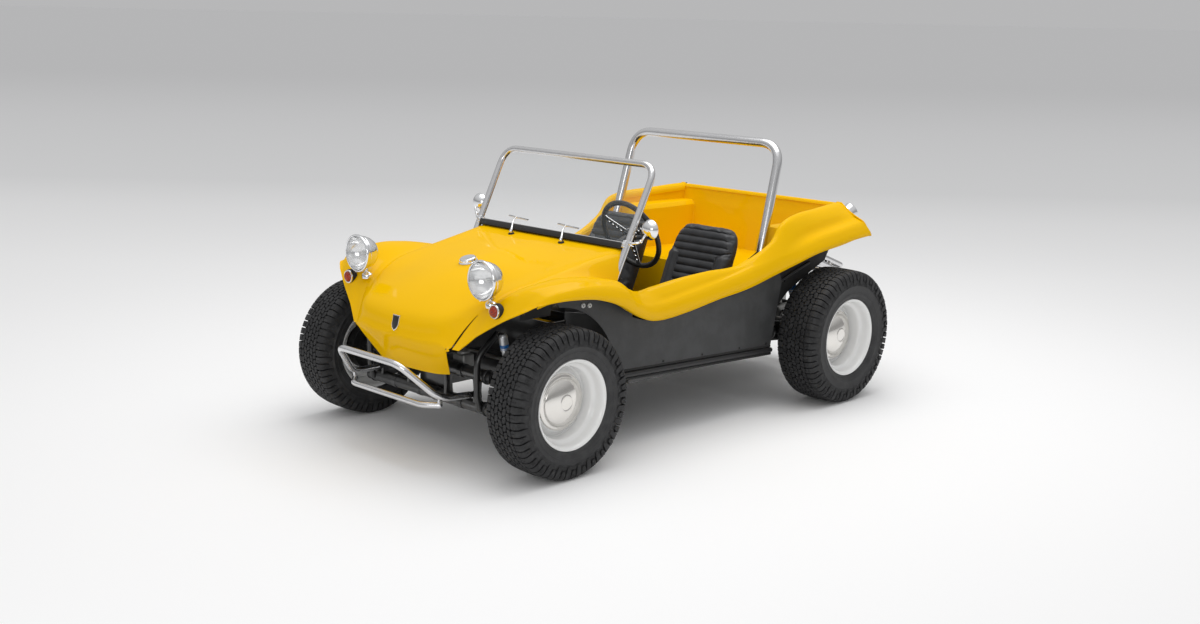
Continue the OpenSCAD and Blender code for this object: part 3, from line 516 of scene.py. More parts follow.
def joined(name, parts):
    """The parts as one object; their finishes stay."""
    parts = [p for p in parts if p]
    verts, faces, marks, smooths, finishes, sharp = [], [], [], [], [], []
    for part in parts:
        base, mesh = len(verts), part.data
        places = [finishes.index(m) if m in finishes else (finishes.append(m) or len(finishes) - 1)
                  for m in mesh.materials]
        verts += [v.co.copy() for v in mesh.vertices]
        for polygon in mesh.polygons:
            faces.append([base + i for i in polygon.vertices])
            marks.append(places[polygon.material_index] if places else 0)
            smooths.append(polygon.use_smooth)
        sharp += [(base + e.vertices[0], base + e.vertices[1]) for e in mesh.edges if e.use_edge_sharp]
        bpy.data.objects.remove(part)
    mesh = bpy.data.meshes.new(name)
    mesh.from_pydata(verts, [], faces)
    for each in finishes:
        mesh.materials.append(each)
    mesh.polygons.foreach_set("material_index", marks)
    mesh.polygons.foreach_set("use_smooth", smooths)
    wanted = {tuple(sorted(pair)) for pair in sharp}
    for edge in mesh.edges:
        edge.use_edge_sharp = tuple(sorted(edge.vertices)) in wanted
    made = bpy.data.objects.new(name, mesh)
    bpy.context.scene.collection.objects.link(made)
    return made


def mirrored(made, name=None):
    """A copy on the other side of the car."""
    copy = bpy.data.objects.new(name or made.name + "_r", made.data.copy())
    bpy.context.scene.collection.objects.link(copy)
    return moved(copy, Matrix.Scale(-1, 4, Vector(ACROSS)))


def both(made):
    return [made, mirrored(made)]


def at(x, y, z):
    """A point of the part's own lines, in metres in the frame."""
    return Vector((x * MM, (y + SHIFT) * MM, z * MM))


def y_of(y):
    return at(0, y, 0).y


def round_points(count, radius, start=0):
    """Pairs of numbers evenly round a circle."""
    turns = [math.radians(start + 360 / count * k) for k in range(count)]
    return [(radius * math.cos(a), radius * math.sin(a)) for a in turns]


def grid_faces(rows, cols, offset=0):
    """Faces of an open grid of points."""
    return [[offset + i * cols + j, offset + i * cols + j + 1, offset + (i + 1) * cols + j + 1,
             offset + (i + 1) * cols + j] for i in range(rows - 1) for j in range(cols - 1)]


def curve_through(points, steps, keen=None):
    """Points on a smooth curve through the given ones; keen says how sharp a corner is at an index."""
    p = np.asarray(points, float)
    count = len(p)
    gaps = np.maximum(np.linalg.norm(np.diff(p, axis=0), axis=1), 1e-9)
    slopes = np.diff(p, axis=0) / gaps[:, None]
    tangents = np.zeros_like(p)
    for i in range(1, count - 1):
        tangents[i] = (slopes[i - 1] * gaps[i] + slopes[i] * gaps[i - 1]) / (gaps[i] + gaps[i - 1])
    tangents[0], tangents[-1] = slopes[0], slopes[-1]
    keen = keen or {}
    out = []
    for i in range(count - 1):
        a = tangents[i] + (slopes[i] - tangents[i]) * keen.get(i, 0.0)
        b = tangents[i + 1] + (slopes[i] - tangents[i + 1]) * keen.get(i + 1, 0.0)
        number = steps[i] if hasattr(steps, "__len__") else steps
        for k in range(number):
            t = k / number
            out.append((2 * t ** 3 - 3 * t ** 2 + 1) * p[i] + (t ** 3 - 2 * t ** 2 + t) * gaps[i] * a
                       + (3 * t ** 2 - 2 * t ** 3) * p[i + 1] + (t ** 3 - t ** 2) * gaps[i] * b)
    out.append(p[-1])
    return np.array(out)


def even_curve(points, steps):
    """The part source's own curve through the points."""
    p = np.asarray(points, float)
    n = len(p) - 1
    out = []
    for k in range(n * steps + 1):
        i = min(k // steps, n - 1)
        t = k / steps - i
        a, b, c, d = p[max(i - 1, 0)], p[i], p[i + 1], p[min(i + 2, n)]
        out.append(0.5 * (2 * b + (c - a) * t + (2 * a - 5 * b + 4 * c - d) * t * t
                          + (3 * b - a - 3 * c + d) * t ** 3))
    return np.array(out)


def bent(path, reach, steps=8):
    """A path of straight runs with rounded corners."""
    p = [np.asarray(q, float) for q in path]
    out = [p[0]]
    for i in range(1, len(p) - 1):
        back, on = p[i - 1] - p[i], p[i + 1] - p[i]
        a = p[i] + back / np.linalg.norm(back) * reach
        c = p[i] + on / np.linalg.norm(on) * reach
        for k in range(steps + 1):
            t = k / steps
            out.append((1 - t) ** 2 * a + 2 * t * (1 - t) * p[i] + t * t * c)
    out.append(p[-1])
    return out


def frames_along(path):
    """Unit tangents, and two steady side directions, at each point of a path."""
    p = np.asarray(path, float)
    t = np.gradient(p, axis=0)
    t /= np.linalg.norm(t, axis=1)[:, None]
    start = np.cross(t[0], (0, 0, 1.0))
    if np.linalg.norm(start) < 0.2:
        start = np.cross(t[0], (1.0, 0, 0))
    side = [start / np.linalg.norm(start)]
    for k in range(1, len(p)):
        s = side[-1] - t[k] * np.dot(side[-1], t[k])
        side.append(s / np.linalg.norm(s))
    side = np.array(side)
    return p, t, side, np.cross(t, side)


def ring_faces(rows, around):
    """Faces of a tube of closed rings."""
    return [[i * around + k, i * around + (k + 1) % around, (i + 1) * around + (k + 1) % around,
             (i + 1) * around + k] for i in range(rows - 1) for k in range(around)]


def end_faces(rows, around):
    """The two caps of such a tube."""
    return [list(range(around))[::-1], [(rows - 1) * around + k for k in range(around)]]


def tube_on(name, path, radius, finish, around=20, closed=False, flat=1.0):
    """A round tube along a path in metres; radius may be one number or one for each point."""
    p, t, a, b = frames_along(path)
    radii = np.full(len(p), radius) if np.isscalar(radius) else np.asarray(radius)
    angles = np.linspace(0, 2 * math.pi, around, endpoint=False)
    rings = (p[:, None] + radii[:, None, None] * (np.cos(angles)[None, :, None] * a[:, None]
             + flat * np.sin(angles)[None, :, None] * b[:, None]))
    last = (len(p) - 1) * around
    faces = ring_faces(len(p), around)
    if closed:
        faces += [[last + k, last + (k + 1) % around, (k + 1) % around, k] for k in range(around)]
    else:
        faces += end_faces(len(p), around)
    return piece_from(name, rings.reshape(-1, 3), faces, finish)


def turned(name, profile, finish, around=96, axis="X", close=False):
    """A lathe shape about an axis: profile is (radius, place along the axis) in metres, outer side first."""
    angles = np.linspace(0, 2 * math.pi, around, endpoint=False)
    verts = np.concatenate([
        np.stack([np.full(around, h), r * np.cos(angles), r * np.sin(angles)], 1) for r, h in profile])
    if axis == "Z":
        verts = verts[:, [1, 2, 0]]
    faces = [[a, d, c, b] for a, b, c, d in ring_faces(len(profile), around)]
    if close:
        last = (len(profile) - 1) * around
        faces += [[last + k, k, (k + 1) % around, last + (k + 1) % around] for k in range(around)]
    return piece_from(name, verts, faces, finish, merge=1e-6)


def block(name, low, high, finish, bevel=0.0, segments=2):
    """A box by two corners in the part's own lines."""
    a, b = at(*low), at(*high)
    return box_of(name, tuple(map(min, a, b)), tuple(map(max, a, b)), finish, bevel, segments)


def box_of(name, low, high, finish, bevel=0.0, segments=2):
    """A box with eased edges, by two corners."""
    (a, b, c), (d, e, f) = low, high
    verts = [(x, y, z) for x in (a, d) for y in (b, e) for z in (c, f)]
    faces = [[0, 1, 3, 2], [4, 6, 7, 5], [0, 4, 5, 1], [2, 3, 7, 6], [0, 2, 6, 4], [1, 5, 7, 3]]
    made = piece_from(name, verts, faces, finish, smooth=False)
    return bevelled(made, bevel, segments) if bevel else made


def slab(name, outline, low, high, finish, bevel=0.0, axes="xyz", segments=2):
    """A flat plate from low to high; axes names the outline's two axes, then the plate's own."""
    order = ["xyz".index(c) for c in axes]
    verts = []
    for h in (low, high):
        for u, v in outline:
            q = [0.0, 0.0, 0.0]
            q[order[0]], q[order[1]], q[order[2]] = u, v, h
            verts.append(q)
    n = len(outline)
    faces = [list(range(n)), list(range(n, 2 * n))] + [[k, (k + 1) % n, n + (k + 1) % n, n + k]
        for k in range(n)]
    made = piece_from(name, verts, faces, finish, smooth=False)
    return bevelled(made, bevel, segments) if bevel else made


def drum_of(name, centre, direction, radius, length, finish, around=32, ease=0.001):
    """A short round bar with eased ends, from centre along direction."""
    e = min(ease, radius * 0.4, length * 0.4)
    made = turned(name, [(0, 0), (radius - e, 0), (radius, e), (radius, length - e),
                         (radius - e, length), (0, length)], finish, around)
    return moved(made, aimed(centre, direction))


def aimed(centre, direction):
    """Turns local +X to direction, and moves the origin to centre."""
    turn = Vector(ACROSS).rotation_difference(Vector(direction).normalized()).to_matrix().to_4x4()
    return Matrix.Translation(Vector(centre)) @ turn


# ---------- Repeats by Geometry Nodes ----------

def repeat_tree(name, turning):
    """Copies of the input mesh: count of them, each turned about X or moved one step more than the last."""
    tree = bpy.data.node_groups.new(name, "GeometryNodeTree")
    tree.interface.new_socket(name="Item", in_out="INPUT", socket_type="NodeSocketGeometry")
    tree.interface.new_socket(name="Count", in_out="INPUT", socket_type="NodeSocketInt")
    tree.interface.new_socket(name="Step", in_out="INPUT", socket_type="NodeSocketVector")
    tree.interface.new_socket(name="Finish", in_out="INPUT", socket_type="NodeSocketMaterial")
    tree.interface.new_socket(name="Result", in_out="OUTPUT", socket_type="NodeSocketGeometry")
    nodes, links = tree.nodes, tree.links
    start, end = nodes.new("NodeGroupInput"), nodes.new("NodeGroupOutput")
    line = nodes.new("GeometryNodeMeshLine")
    line.mode = "OFFSET"
    links.new(start.outputs["Count"], line.inputs["Count"])
    spread = nodes.new("GeometryNodeInstanceOnPoints")
    links.new(line.outputs[0], spread.inputs["Points"])
    links.new(start.outputs["Item"], spread.inputs["Instance"])
    if turning:
        line.inputs["Offset"].default_value = (0, 0, 0)
        index = nodes.new("GeometryNodeInputIndex")
        turn = nodes.new("ShaderNodeVectorMath")
        turn.operation = "SCALE"
        links.new(start.outputs["Step"], turn.inputs[0])
        links.new(index.outputs[0], turn.inputs["Scale"])
        links.new(turn.outputs[0], spread.inputs["Rotation"])
    else:
        links.new(start.outputs["Step"], line.inputs["Offset"])
    real = nodes.new("GeometryNodeRealizeInstances")
    links.new(spread.outputs[0], real.inputs[0])
    paint = nodes.new("GeometryNodeSetMaterial")
    links.new(real.outputs[0], paint.inputs["Geometry"])
    links.new(start.outputs["Finish"], paint.inputs["Material"])
    links.new(paint.outputs[0], end.inputs["Result"])
    return tree


REPEATS = {}


def repeated(item, count, step, finish, turning=False):
    """The item repeated in a row, or round the X axis where turning is true."""
    key = "turned_copies" if turning else "copies_in_a_row"
    if key not in REPEATS:
        REPEATS[key] = repeat_tree(key, turning)
    modifier = item.modifiers.new("copies", "NODES")
    modifier.node_group = REPEATS[key]
    keys = {s.name: s.identifier for s in REPEATS[key].interface.items_tree if s.in_out == "INPUT"}
    modifier[keys["Count"]] = count
    modifier[keys["Step"]] = tuple(step)
    modifier[keys["Finish"]] = finish_of(finish)
    item.update_tag()
    return baked(item)


def bolt(name, centre, direction, size=0.008, finish="plated_steel"):
    """A hexagon head on a washer."""
    washer = drum_of(name + "_w", centre, direction, size * 1.25, size * 0.25, finish, 20, 0.0003)
    hexagon = [(size * math.cos(math.radians(60 * k)), size * math.sin(math.radians(60 * k)))
        for k in range(6)]
    head = slab(name + "_h", hexagon, 0, size * 0.9, finish, size * 0.12, "yzx")
    moved(head, aimed(Vector(centre), direction))
    return joined(name, [washer, head])


# ---------- Body lines, left side, front to rear ----------

RIM = [(362, -1325, 562), (430, -1200, 735), (490, -1000, 818), (530, -840, 842), (550, -690, 842),
       (560, -590, 822), (572, -500, 785), (590, -405, 745), (596, -290, 757), (597, -90, 776),
       (597, 120, 786), (600, 350, 792), (626, 565, 880), (628, 660, 980), (606, 800, 1012),
       (580, 1000, 1024), (560, 1150, 1032), (553, 1240, 1036)]
CROWN = [(470, -1282, 632), (560, -1170, 812), (600, -985, 868), (615, -830, 868), (620, -690, 850),
         (622, -590, 828), (625, -500, 785), (622, -405, 750), (616, -290, 757), (612, -90, 776),
         (612, 120, 788), (615, 350, 797), (644, 575, 890), (644, 665, 990), (622, 800, 1022),
         (596, 1000, 1032), (575, 1150, 1040), (566, 1246, 1044)]
SHOULDER = [(608, -1228, 722), (680, -1120, 845), (700, -960, 872), (702, -820, 866), (697, -690, 848),
            (692, -590, 822), (690, -505, 764), (668, -410, 732), (650, -290, 722), (642, -90, 742),
            (636, 120, 765), (638, 340, 787), (664, 560, 850), (676, 690, 925), (668, 840, 962),
            (660, 1000, 982), (650, 1150, 994), (640, 1262, 998)]
FOLD = [(690, -1188, 768), (748, -1085, 832), (756, -950, 846), (751, -830, 842), (740, -690, 825),
        (729, -590, 796), (717, -500, 729), (700, -410, 693), (681, -290, 684), (668, -90, 704),
        (660, 120, 730), (661, 340, 770), (680, 560, 808), (706, 700, 840), (720, 850, 890),
        (727, 1000, 915), (727, 1150, 934), (718, 1290, 946)]
EDGE = [(735, -1150, 793), (759, -1050, 802), (762, -930, 798), (757, -800, 781), (745, -655, 736),
        (725, -548, 684), (705, -457, 642), (688, -360, 613), (675, -240, 606), (668, -70, 620),
        (665, 145, 650), (668, 375, 678), (682, 600, 733), (712, 735, 778), (735, 875, 819),
        (745, 1045, 842), (745, 1185, 862), (730, 1350, 868)]
HOOD = [
    [(0, -1290, 405), (0, -1366, 545), (0, -1366, 600), (0, -1330, 690), (0, -1150, 790),
     (0, -930, 868), (0, -760, 900), (0, -590, 922), (0, -385, 940)],
    [(130, -1286, 408), (170, -1360, 547), (170, -1358, 602), (172, -1322, 692), (180, -1140, 788),
     (190, -920, 860), (196, -750, 892), (200, -590, 916), (200, -388, 940)],
    [(225, -1274, 413), (286, -1346, 551), (292, -1342, 610), (310, -1300, 700), (340, -1110, 786),
     (370, -900, 852), (385, -740, 884), (400, -585, 910), (400, -392, 941)],
    [(252, -1265, 416), (322, -1340, 553), (340, -1328, 590), (386, -1240, 708), (450, -1060, 806),
     (486, -880, 852), (500, -735, 876), (508, -590, 902), (518, -402, 936)]]
HOOD_CORNER = [(266, -1259, 418), (334, -1336, 555)]
PANEL_X = 640
FINE = 8


def body_rows():
    """The body's lines with fine stations: hood rows by nine stations, side rows by eighteen."""
    lip = [(min(x - 14, max(PANEL_X - 4, x - 34)), y, z + 3) for x, y, z in EDGE]
    lip[0] = tuple(np.array(EDGE[0]) + (-8, 3, -14))
    lip[1] = tuple(np.array(EDGE[1]) + (-26, 0, -5))
    hood = [even_curve(line, FINE) for line in HOOD]
    side = [even_curve(line, FINE) for line in (RIM, CROWN, SHOULDER, FOLD, EDGE, lip)]
    corner = even_curve(HOOD_CORNER + [tuple(np.array(RIM[0]) - (5, 0, 0))] + RIM[1:7], FINE)
    return hood, side, corner


def across(lines, steps, keen):
    """A grid of rows from lines with equal stations, rounded across them."""
    lines = np.array(lines)
    columns = [curve_through(lines[:, k], steps, keen) for k in range(lines.shape[1])]
    return np.array(columns).transpose(1, 0, 2)


def hollowed(side):
    """A line between shoulder and fold, pulled in where the rear fender is scooped."""
    mid = 0.5 * (side[2] + side[3])
    y = mid[:, 1]
    rear = np.clip((y - 640) / 200, 0, 1) * np.clip((1330 - y) / 200, 0.35, 1)
    front = np.clip((y + 330) / 60, 0, 1) * np.clip((420 - y) / 140, 0, 1)
    mid = mid.copy()
    mid[:, 0] -= 15 * rear + 4 * front
    mid[:, 2] -= 11 * rear + 3 * front
    return mid


SKIN_FINISHES = ["yellow_gelcoat", "underside_black"]


def skin_of(name, grids, drop):
    """A moulded skin from grids of points in the part's lines, without the faces that drop names."""
    verts, faces = [], []
    for n, grid in enumerate(grids):
        rows, cols = grid.shape[:2]
        base = len(verts)
        verts += [at(*p) for p in grid.reshape(-1, 3)]
        faces += [f for k, f in enumerate(grid_faces(rows, cols, offset=base))
                  if not drop(n, k // (cols - 1), k % (cols - 1))]
    left = piece_from(name, verts, faces, SKIN_FINISHES, merge=0.00005)
    made = joined(name, [left, mirrored(left)])
    edit(made, lambda bm: settle(bm, 0.0002, True))
    faced(made, lambda middle: middle - Vector((0, 0, 0.5)))
    shade(made, True, 0)
    return thickened(made, 50)


def faced(made, way):
    """Turns an open skin so that, on the whole, it faces the way given for the middle of a face."""
    if sum(p.normal.dot(way(p.center)) * p.area for p in made.data.polygons) < 0:
        made.data.flip_normals()


def thickened(made, angle):
    """An open skin given its thickness inward, with the black finish on the inside."""
    made = modified(made, "SOLIDIFY", thickness=sizes().skin, offset=-1.0, use_even_offset=False,
                    thickness_clamp=0.9, material_offset=1, material_offset_rim=0)
    shade(made, True, angle)
    return made


def front_and_side_skins():
    hood, side, corner = body_rows()
    f = FINE
    seam = []
    for k in range(8 * f + 1):
        edge = corner[k] if k < 2 * f else side[0][k - 2 * f]
        away = hood[3][k] - edge
        seam.append(edge + away * min(9.0 / max(np.linalg.norm(away), 1.0), 0.4))
    seam = np.array(seam)
    hood_steps = [6, 6, 5, 5, 1]
    n1 = 2 * f + 1
    nose_lines = [h[:n1] for h in hood] + [seam[:n1], corner[:n1]]
    nose = across(nose_lines, hood_steps, {3: 0.35, 4: 1.0, 5: 1.0})
    rear = 6 * f + 1
    front_lines = ([h[2 * f:] for h in hood] + [seam[2 * f:]] + [side[0][:rear]]
                   + [s[:rear] for s in side[1:3]] + [hollowed(side)[:rear]] + [s[:rear] for s in side[3:]])
    steps = hood_steps + [3, 4, 3, 3, 5, 4]
    keen = {3: 0.35, 4: 0.85, 9: 0.45, 10: 0.15}
    front = across(front_lines, steps, keen)
    inner = side[0].copy()
    inner[:, 0] -= 9
    inner[:, 2] -= 16
    shelf = inner.copy()
    shelf[:, 2] -= 16
    cut = 6 * f
    side_lines = ([shelf[cut:], inner[cut:], side[0][cut:], side[1][cut:], side[2][cut:],
                   hollowed(side)[cut:]] + [s[cut:] for s in side[3:]])
    flank = across(side_lines, [1, 3, 3, 4, 3, 3, 5, 4], {1: 0.5, 6: 0.45, 7: 0.15})
    seam_row = sum(hood_steps) - 1

    def drop(n, row, column):
        if n == 1 and row == seam_row and column < 0.85 * f:
            return True
        return n == 0 and row == seam_row and column > 2 * f - 2

    return skin_of("body_skin", [nose, front, flank], drop)


TUB = {
    "bulkhead_y": 590, "ledge_y": 530, "hump_y": 644, "hump_top_y": 704, "rear_y": 1234,
    "deck_z": 703, "deck_rear_y": 1200, "hump_z": 951, "hump_x": 457, "wall_x": 588, "floor_z": 326}


def tub():
    """Cockpit walls, ledges, wheel humps, deck and rear wall as one rounded moulding."""
    t = TUB
    side = body_rows()[1]
    rim = side[0][7 * FINE:]
    wall = [(t["wall_x"], p[1], p[2] - 10) for p in rim if p[1] <= t["ledge_y"]]
    top_end = wall[-1]
    upper = [(p[0] - 9, p[1], p[2] - 18) for p in rim if p[1] > t["ledge_y"]]
    verts, index = [], {}

    def v(x, y, z):
        key = (round(x, 2), round(y, 2), round(z, 2))
        if key not in index:
            index[key] = len(verts)
            verts.append(at(*key))
        return index[key]

    wx, hx, dz, fz = t["wall_x"], t["hump_x"], t["deck_z"], t["floor_z"]
    ly, by, hy, ty = t["ledge_y"], t["bulkhead_y"], t["hump_y"], t["hump_top_y"]
    rear_low, rear_high = t["deck_rear_y"], t["rear_y"]
    hz = t["hump_z"]
    hump_rear = rear_low + (rear_high - rear_low) * (hz - dz) / 330
    faces = []
    # Cockpit wall in strips below the rim
    for a, b in zip(wall[:-1], wall[1:]):
        faces.append([v(wx, a[1], fz), v(*a), v(*b), v(wx, b[1], fz)])
    faces.append([v(wx, top_end[1], fz), v(*top_end), v(wx + 4, ly, 838), v(wx, ly, dz), v(wx, ly, fz)])
    faces.append([v(wx, ly, fz), v(wx, ly, dz), v(hx, ly, dz), v(hx, ly, fz)])
    faces.append([v(hx, ly, fz), v(hx, ly, dz), v(hx, by, dz), v(hx, by, fz)])
    faces.append([v(wx, ly, dz), v(608, hy, dz), v(hx, hy, dz), v(hx, by, dz), v(hx, ly, dz)])
    # Outer wall over the ledge, up to the rim
    near = [p for p in upper if p[1] < hy]
    far = [p for p in upper if p[1] >= hy]
    faces.append([v(wx, ly, dz), v(wx + 4, ly, 838)] + [v(*p) for p in near] + [v(*far[0]), v(608, hy, dz)])
    # Hump: front, side, chamfer and top
    faces.append([v(608, hy, dz), v(614, ty, hz), v(hx + 26, ty, hz), v(hx + 3, ty - 8, hz - 24),
        v(hx, hy, dz)])
    faces.append([v(hx, hy, dz), v(hx + 3, ty - 8, hz - 24), v(hx + 3, hump_rear - 4, hz - 24),
        v(hx, rear_low, dz)])
    faces.append([v(hx + 3, ty - 8, hz - 24), v(hx + 26, ty, hz), v(hx + 26, hump_rear, hz),
        v(hx + 3, hump_rear - 4, hz - 24)])
    faces.append([v(hx + 26, ty, hz), v(614, ty, hz), v(556, hump_rear, hz), v(hx + 26, hump_rear, hz)])
    faces.append([v(608, hy, dz), v(*far[0])] + [v(*p) for p in far[1:]] + [v(546, rear_high, 1012),
        v(556, hump_rear, hz), v(614, ty, hz)])
    left = piece_from("tub_half", verts, faces, SKIN_FINISHES, merge=0.0005)
    verts, index, faces = [], {}, []
    faces.append([v(-hx, by, fz), v(hx, by, fz), v(hx, by, dz), v(-hx, by, dz)])
    faces.append([v(-hx, by, dz), v(hx, by, dz), v(hx, hy, dz), v(hx, rear_low, dz), v(-hx, rear_low, dz),
        v(-hx, hy, dz)])
    faces.append([v(-hx, rear_low, dz), v(hx, rear_low, dz), v(hx + 3, hump_rear - 4, hz - 24),
        v(hx + 26, hump_rear, hz), v(556, hump_rear, hz), v(546, rear_high, 1012), v(546, rear_high, 1030),
        v(-546, rear_high, 1030), v(-546, rear_high, 1012), v(-556, hump_rear, hz),
        v(-hx - 26, hump_rear, hz), v(-hx - 3, hump_rear - 4, hz - 24)])
    middle = piece_from("tub_middle", verts, faces, SKIN_FINISHES)
    made = joined("tub_skin", [left, mirrored(left), middle])
    edit(made, lambda bm: settle(bm, 0.0012, True))
    faced(made, lambda middle: Vector((0, 0.35, 1.2)) - middle)
    made = modified(made, "BEVEL", width=0.020, segments=4, limit_method="ANGLE",
                    angle_limit=math.radians(24), use_clamp_overlap=True)
    return thickened(made, 35)


def rear_panel():
    """The rolled rear edge, and the outer panel below it that carries the tail lights."""
    end = [row[-1] for row in body_rows()[1]]
    stations = np.linspace(-1, 1, 41)

    def line(x, y, z, bow):
        return [(x * s, y - bow * s * s, z) for s in stations]

    lines = [line(550, 1230, 1024, 0), line(554, 1238, 1040, 0), line(556, 1246, 1042, 0),
             line(572, 1262, 1030, 2), line(592, 1302, 940, 10), line(598, 1334, 884, 20),
             line(598, 1336, 862, 22), line(594, 1318, 850, 20)]
    grid = across(lines, [2, 3, 3, 5, 5, 3, 2], {})
    verts = [at(*p) for p in grid.reshape(-1, 3)]
    middle = piece_from("rear_middle", verts, grid_faces(*grid.shape[:2]), SKIN_FINISHES)
    # Corners that close the fenders
    right_edge = grid[:, -1]
    outer = [end[0] + (0, 2, -8), end[0] + (4, 4, 0), end[1], end[2], 0.5 * (end[2] + end[3]), end[3],
             0.55 * end[3] + 0.45 * end[4], end[4]]
    outer_line = curve_through(outer, [2, 3, 3, 5, 5, 3, 2], {})
    shares = np.linspace(0, 1, 7)
    corner_grid = np.array([[a * (1 - s) + b * s + np.array((0, 14 * math.sin(math.pi * s), 0))
        for s in shares] for a, b in zip(right_edge, outer_line)])
    verts = [at(*p) for p in corner_grid.reshape(-1, 3)]
    corner_piece = piece_from("rear_corner", verts, grid_faces(*corner_grid.shape[:2]),
                              SKIN_FINISHES)
    made = joined("rear_skin", [middle, corner_piece, mirrored(corner_piece)])
    edit(made, lambda bm: settle(bm, 0.0004, True))
    faced(made, lambda middle: Vector(BACK))
    made = thickened(made, 50)
    # A bead where the corner meets the fender
    bead = tube_on("rear_bead", [np.array(at(*p)) for p in outer_line], 0.0042, "yellow_gelcoat", 10)
    return joined("rear_skin", [made, bead, mirrored(bead)])


class BUGGY_OT_body(bpy.types.Operator):
    """Moulded body: hood with nose, fenders and cockpit edge, tub and rear panel"""
    bl_idname = "buggy.body"
    bl_label = "Moulded body"

    def execute(self, context):
        body = front_and_side_skins()
        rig.replaces(body, "hood")
        for made in (body, tub(), rear_panel()):
            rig.replaces(made, "body_shell")
            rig.slot(made, "body")
            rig.ride(made, "chassis")
        return {"FINISHED"}


# ---------- Wheels, turned about X with the tyre's middle at the origin ----------

WHEELS = {
    "front": {"radius": 0.345, "half": 0.112, "rim_half": 0.098, "face": 0.098, "disc": 0.002,
              "place": Vector((0.728, FRONT_AXLE.y, 0.345))},
    "rear": {"radius": 0.361, "half": 0.122, "rim_half": 0.105, "face": 0.105, "disc": -0.005,
             "place": Vector((0.752, REAR_AXLE.y, 0.361))}}
FLANGE = 0.2075
BEAD = 0.190


def shown(made, body, slot, *nodes):
    """Says which body a finished piece rides on, its slot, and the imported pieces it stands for."""
    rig.ride(made, body)
    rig.slot(made, slot)
    for node in nodes:
        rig.replaces(made, node)
    return made


def tread_radius(w, x):
    """Radius of the tread's outer face at the place x across it."""
    share = abs(x) / (w["half"] * 0.62)
    return w["radius"] - 0.0022 * share * share


def blocks(outlines, w, depth):
    """Rubber blocks: outlines in (across, along) metres, raised from the carcass to the tread."""
    verts, faces = [], []
    for outline in outlines:
        n, base = len(outline), len(verts)
        middle = np.mean(outline, axis=0)
        for low in (True, False):
            for x, s in outline:
                if low:
                    x, s = middle + (np.array((x, s)) - middle) * 1.05
                r = tread_radius(w, x) - (depth + 0.002 if low else 0)
                turn = s / w["radius"]
                verts.append((x, r * math.cos(turn), r * math.sin(turn)))
        faces.append([base + n + k for k in range(n)])
        faces += [[base + k, base + (k + 1) % n, base + n + (k + 1) % n, base + n + k] for k in range(n)]
    return verts, faces


def block_outlines(w, pitch):
    """Five rows of interlocking blocks, two blocks a pitch, each split by a sipe."""
    spacing = w["half"] * 0.224
    a, b, slot = spacing / 2 - 0.0021, pitch / 4 - 0.0021, 0.0005
    lower = [(-a, -b), (0.30 * a, -b), (0.48 * a, -0.62 * b), (a, -0.46 * b), (a, -0.1 * b - slot),
             (0.25 * a, -0.16 * b - slot), (-0.25 * a, 0.16 * b - slot), (-a, 0.1 * b - slot)]
    upper = [(-x, -s) for x, s in lower]
    outlines = []
    for row in range(-2, 3):
        flip = -1 if row % 2 else 1
        for k in range(2):
            along = (k + (0.5 if row % 2 else 0.0)) * pitch / 2
            for half in (lower, upper):
                outlines.append([(flip * x + row * spacing, s + along) for x, s in half])
    return outlines


def shoulder_line(w):
    """The tyre's outline from the tread's edge to the sidewall, as (across, radius)."""
    r, h = w["radius"], w["half"]
    return [(h * 0.575, r - 0.0018), (h * 0.68, r - 0.0024), (h * 0.80, r - 0.0045),
            (h * 0.905, r - 0.0135), (h * 0.968, r - 0.030), (h * 0.994, r - 0.048),
            (h * 0.998, r - 0.060), (h * 0.996, r - 0.069)]


def lug(w, stations, middle, halves, depth, side, raise_by=0.0):
    """A shoulder lug: cross sections between two sides, along the shoulder line's stations."""
    line = shoulder_line(w)
    verts, faces = [], []
    for n, (k, half) in enumerate(zip(stations, halves)):
        x, r = line[k]
        before, after = line[max(k - 1, 0)], line[min(k + 1, len(line) - 1)]
        run = np.array((after[0] - before[0], after[1] - before[1]))
        out = np.array((-run[1], run[0])) / np.linalg.norm(run)
        left, right = half if hasattr(half, "__len__") else (-half, half)
        for s, lift in ((left * 1.06, -depth), (left, raise_by), (right, raise_by), (right * 1.06, -depth)):
            px, pr = x + out[0] * lift, r + out[1] * lift
            turn = (middle + s) / w["radius"]
            verts.append((side * px, pr * math.cos(turn), pr * math.sin(turn)))
        if n:
            o = 4 * n
            faces += [[o - 4 + j, o + j, o + j + 1, o - 3 + j] for j in range(3)]
    end = len(verts) - 4
    faces += [[0, 1, 2, 3], [end + 3, end + 2, end + 1, end]]
    return verts, faces


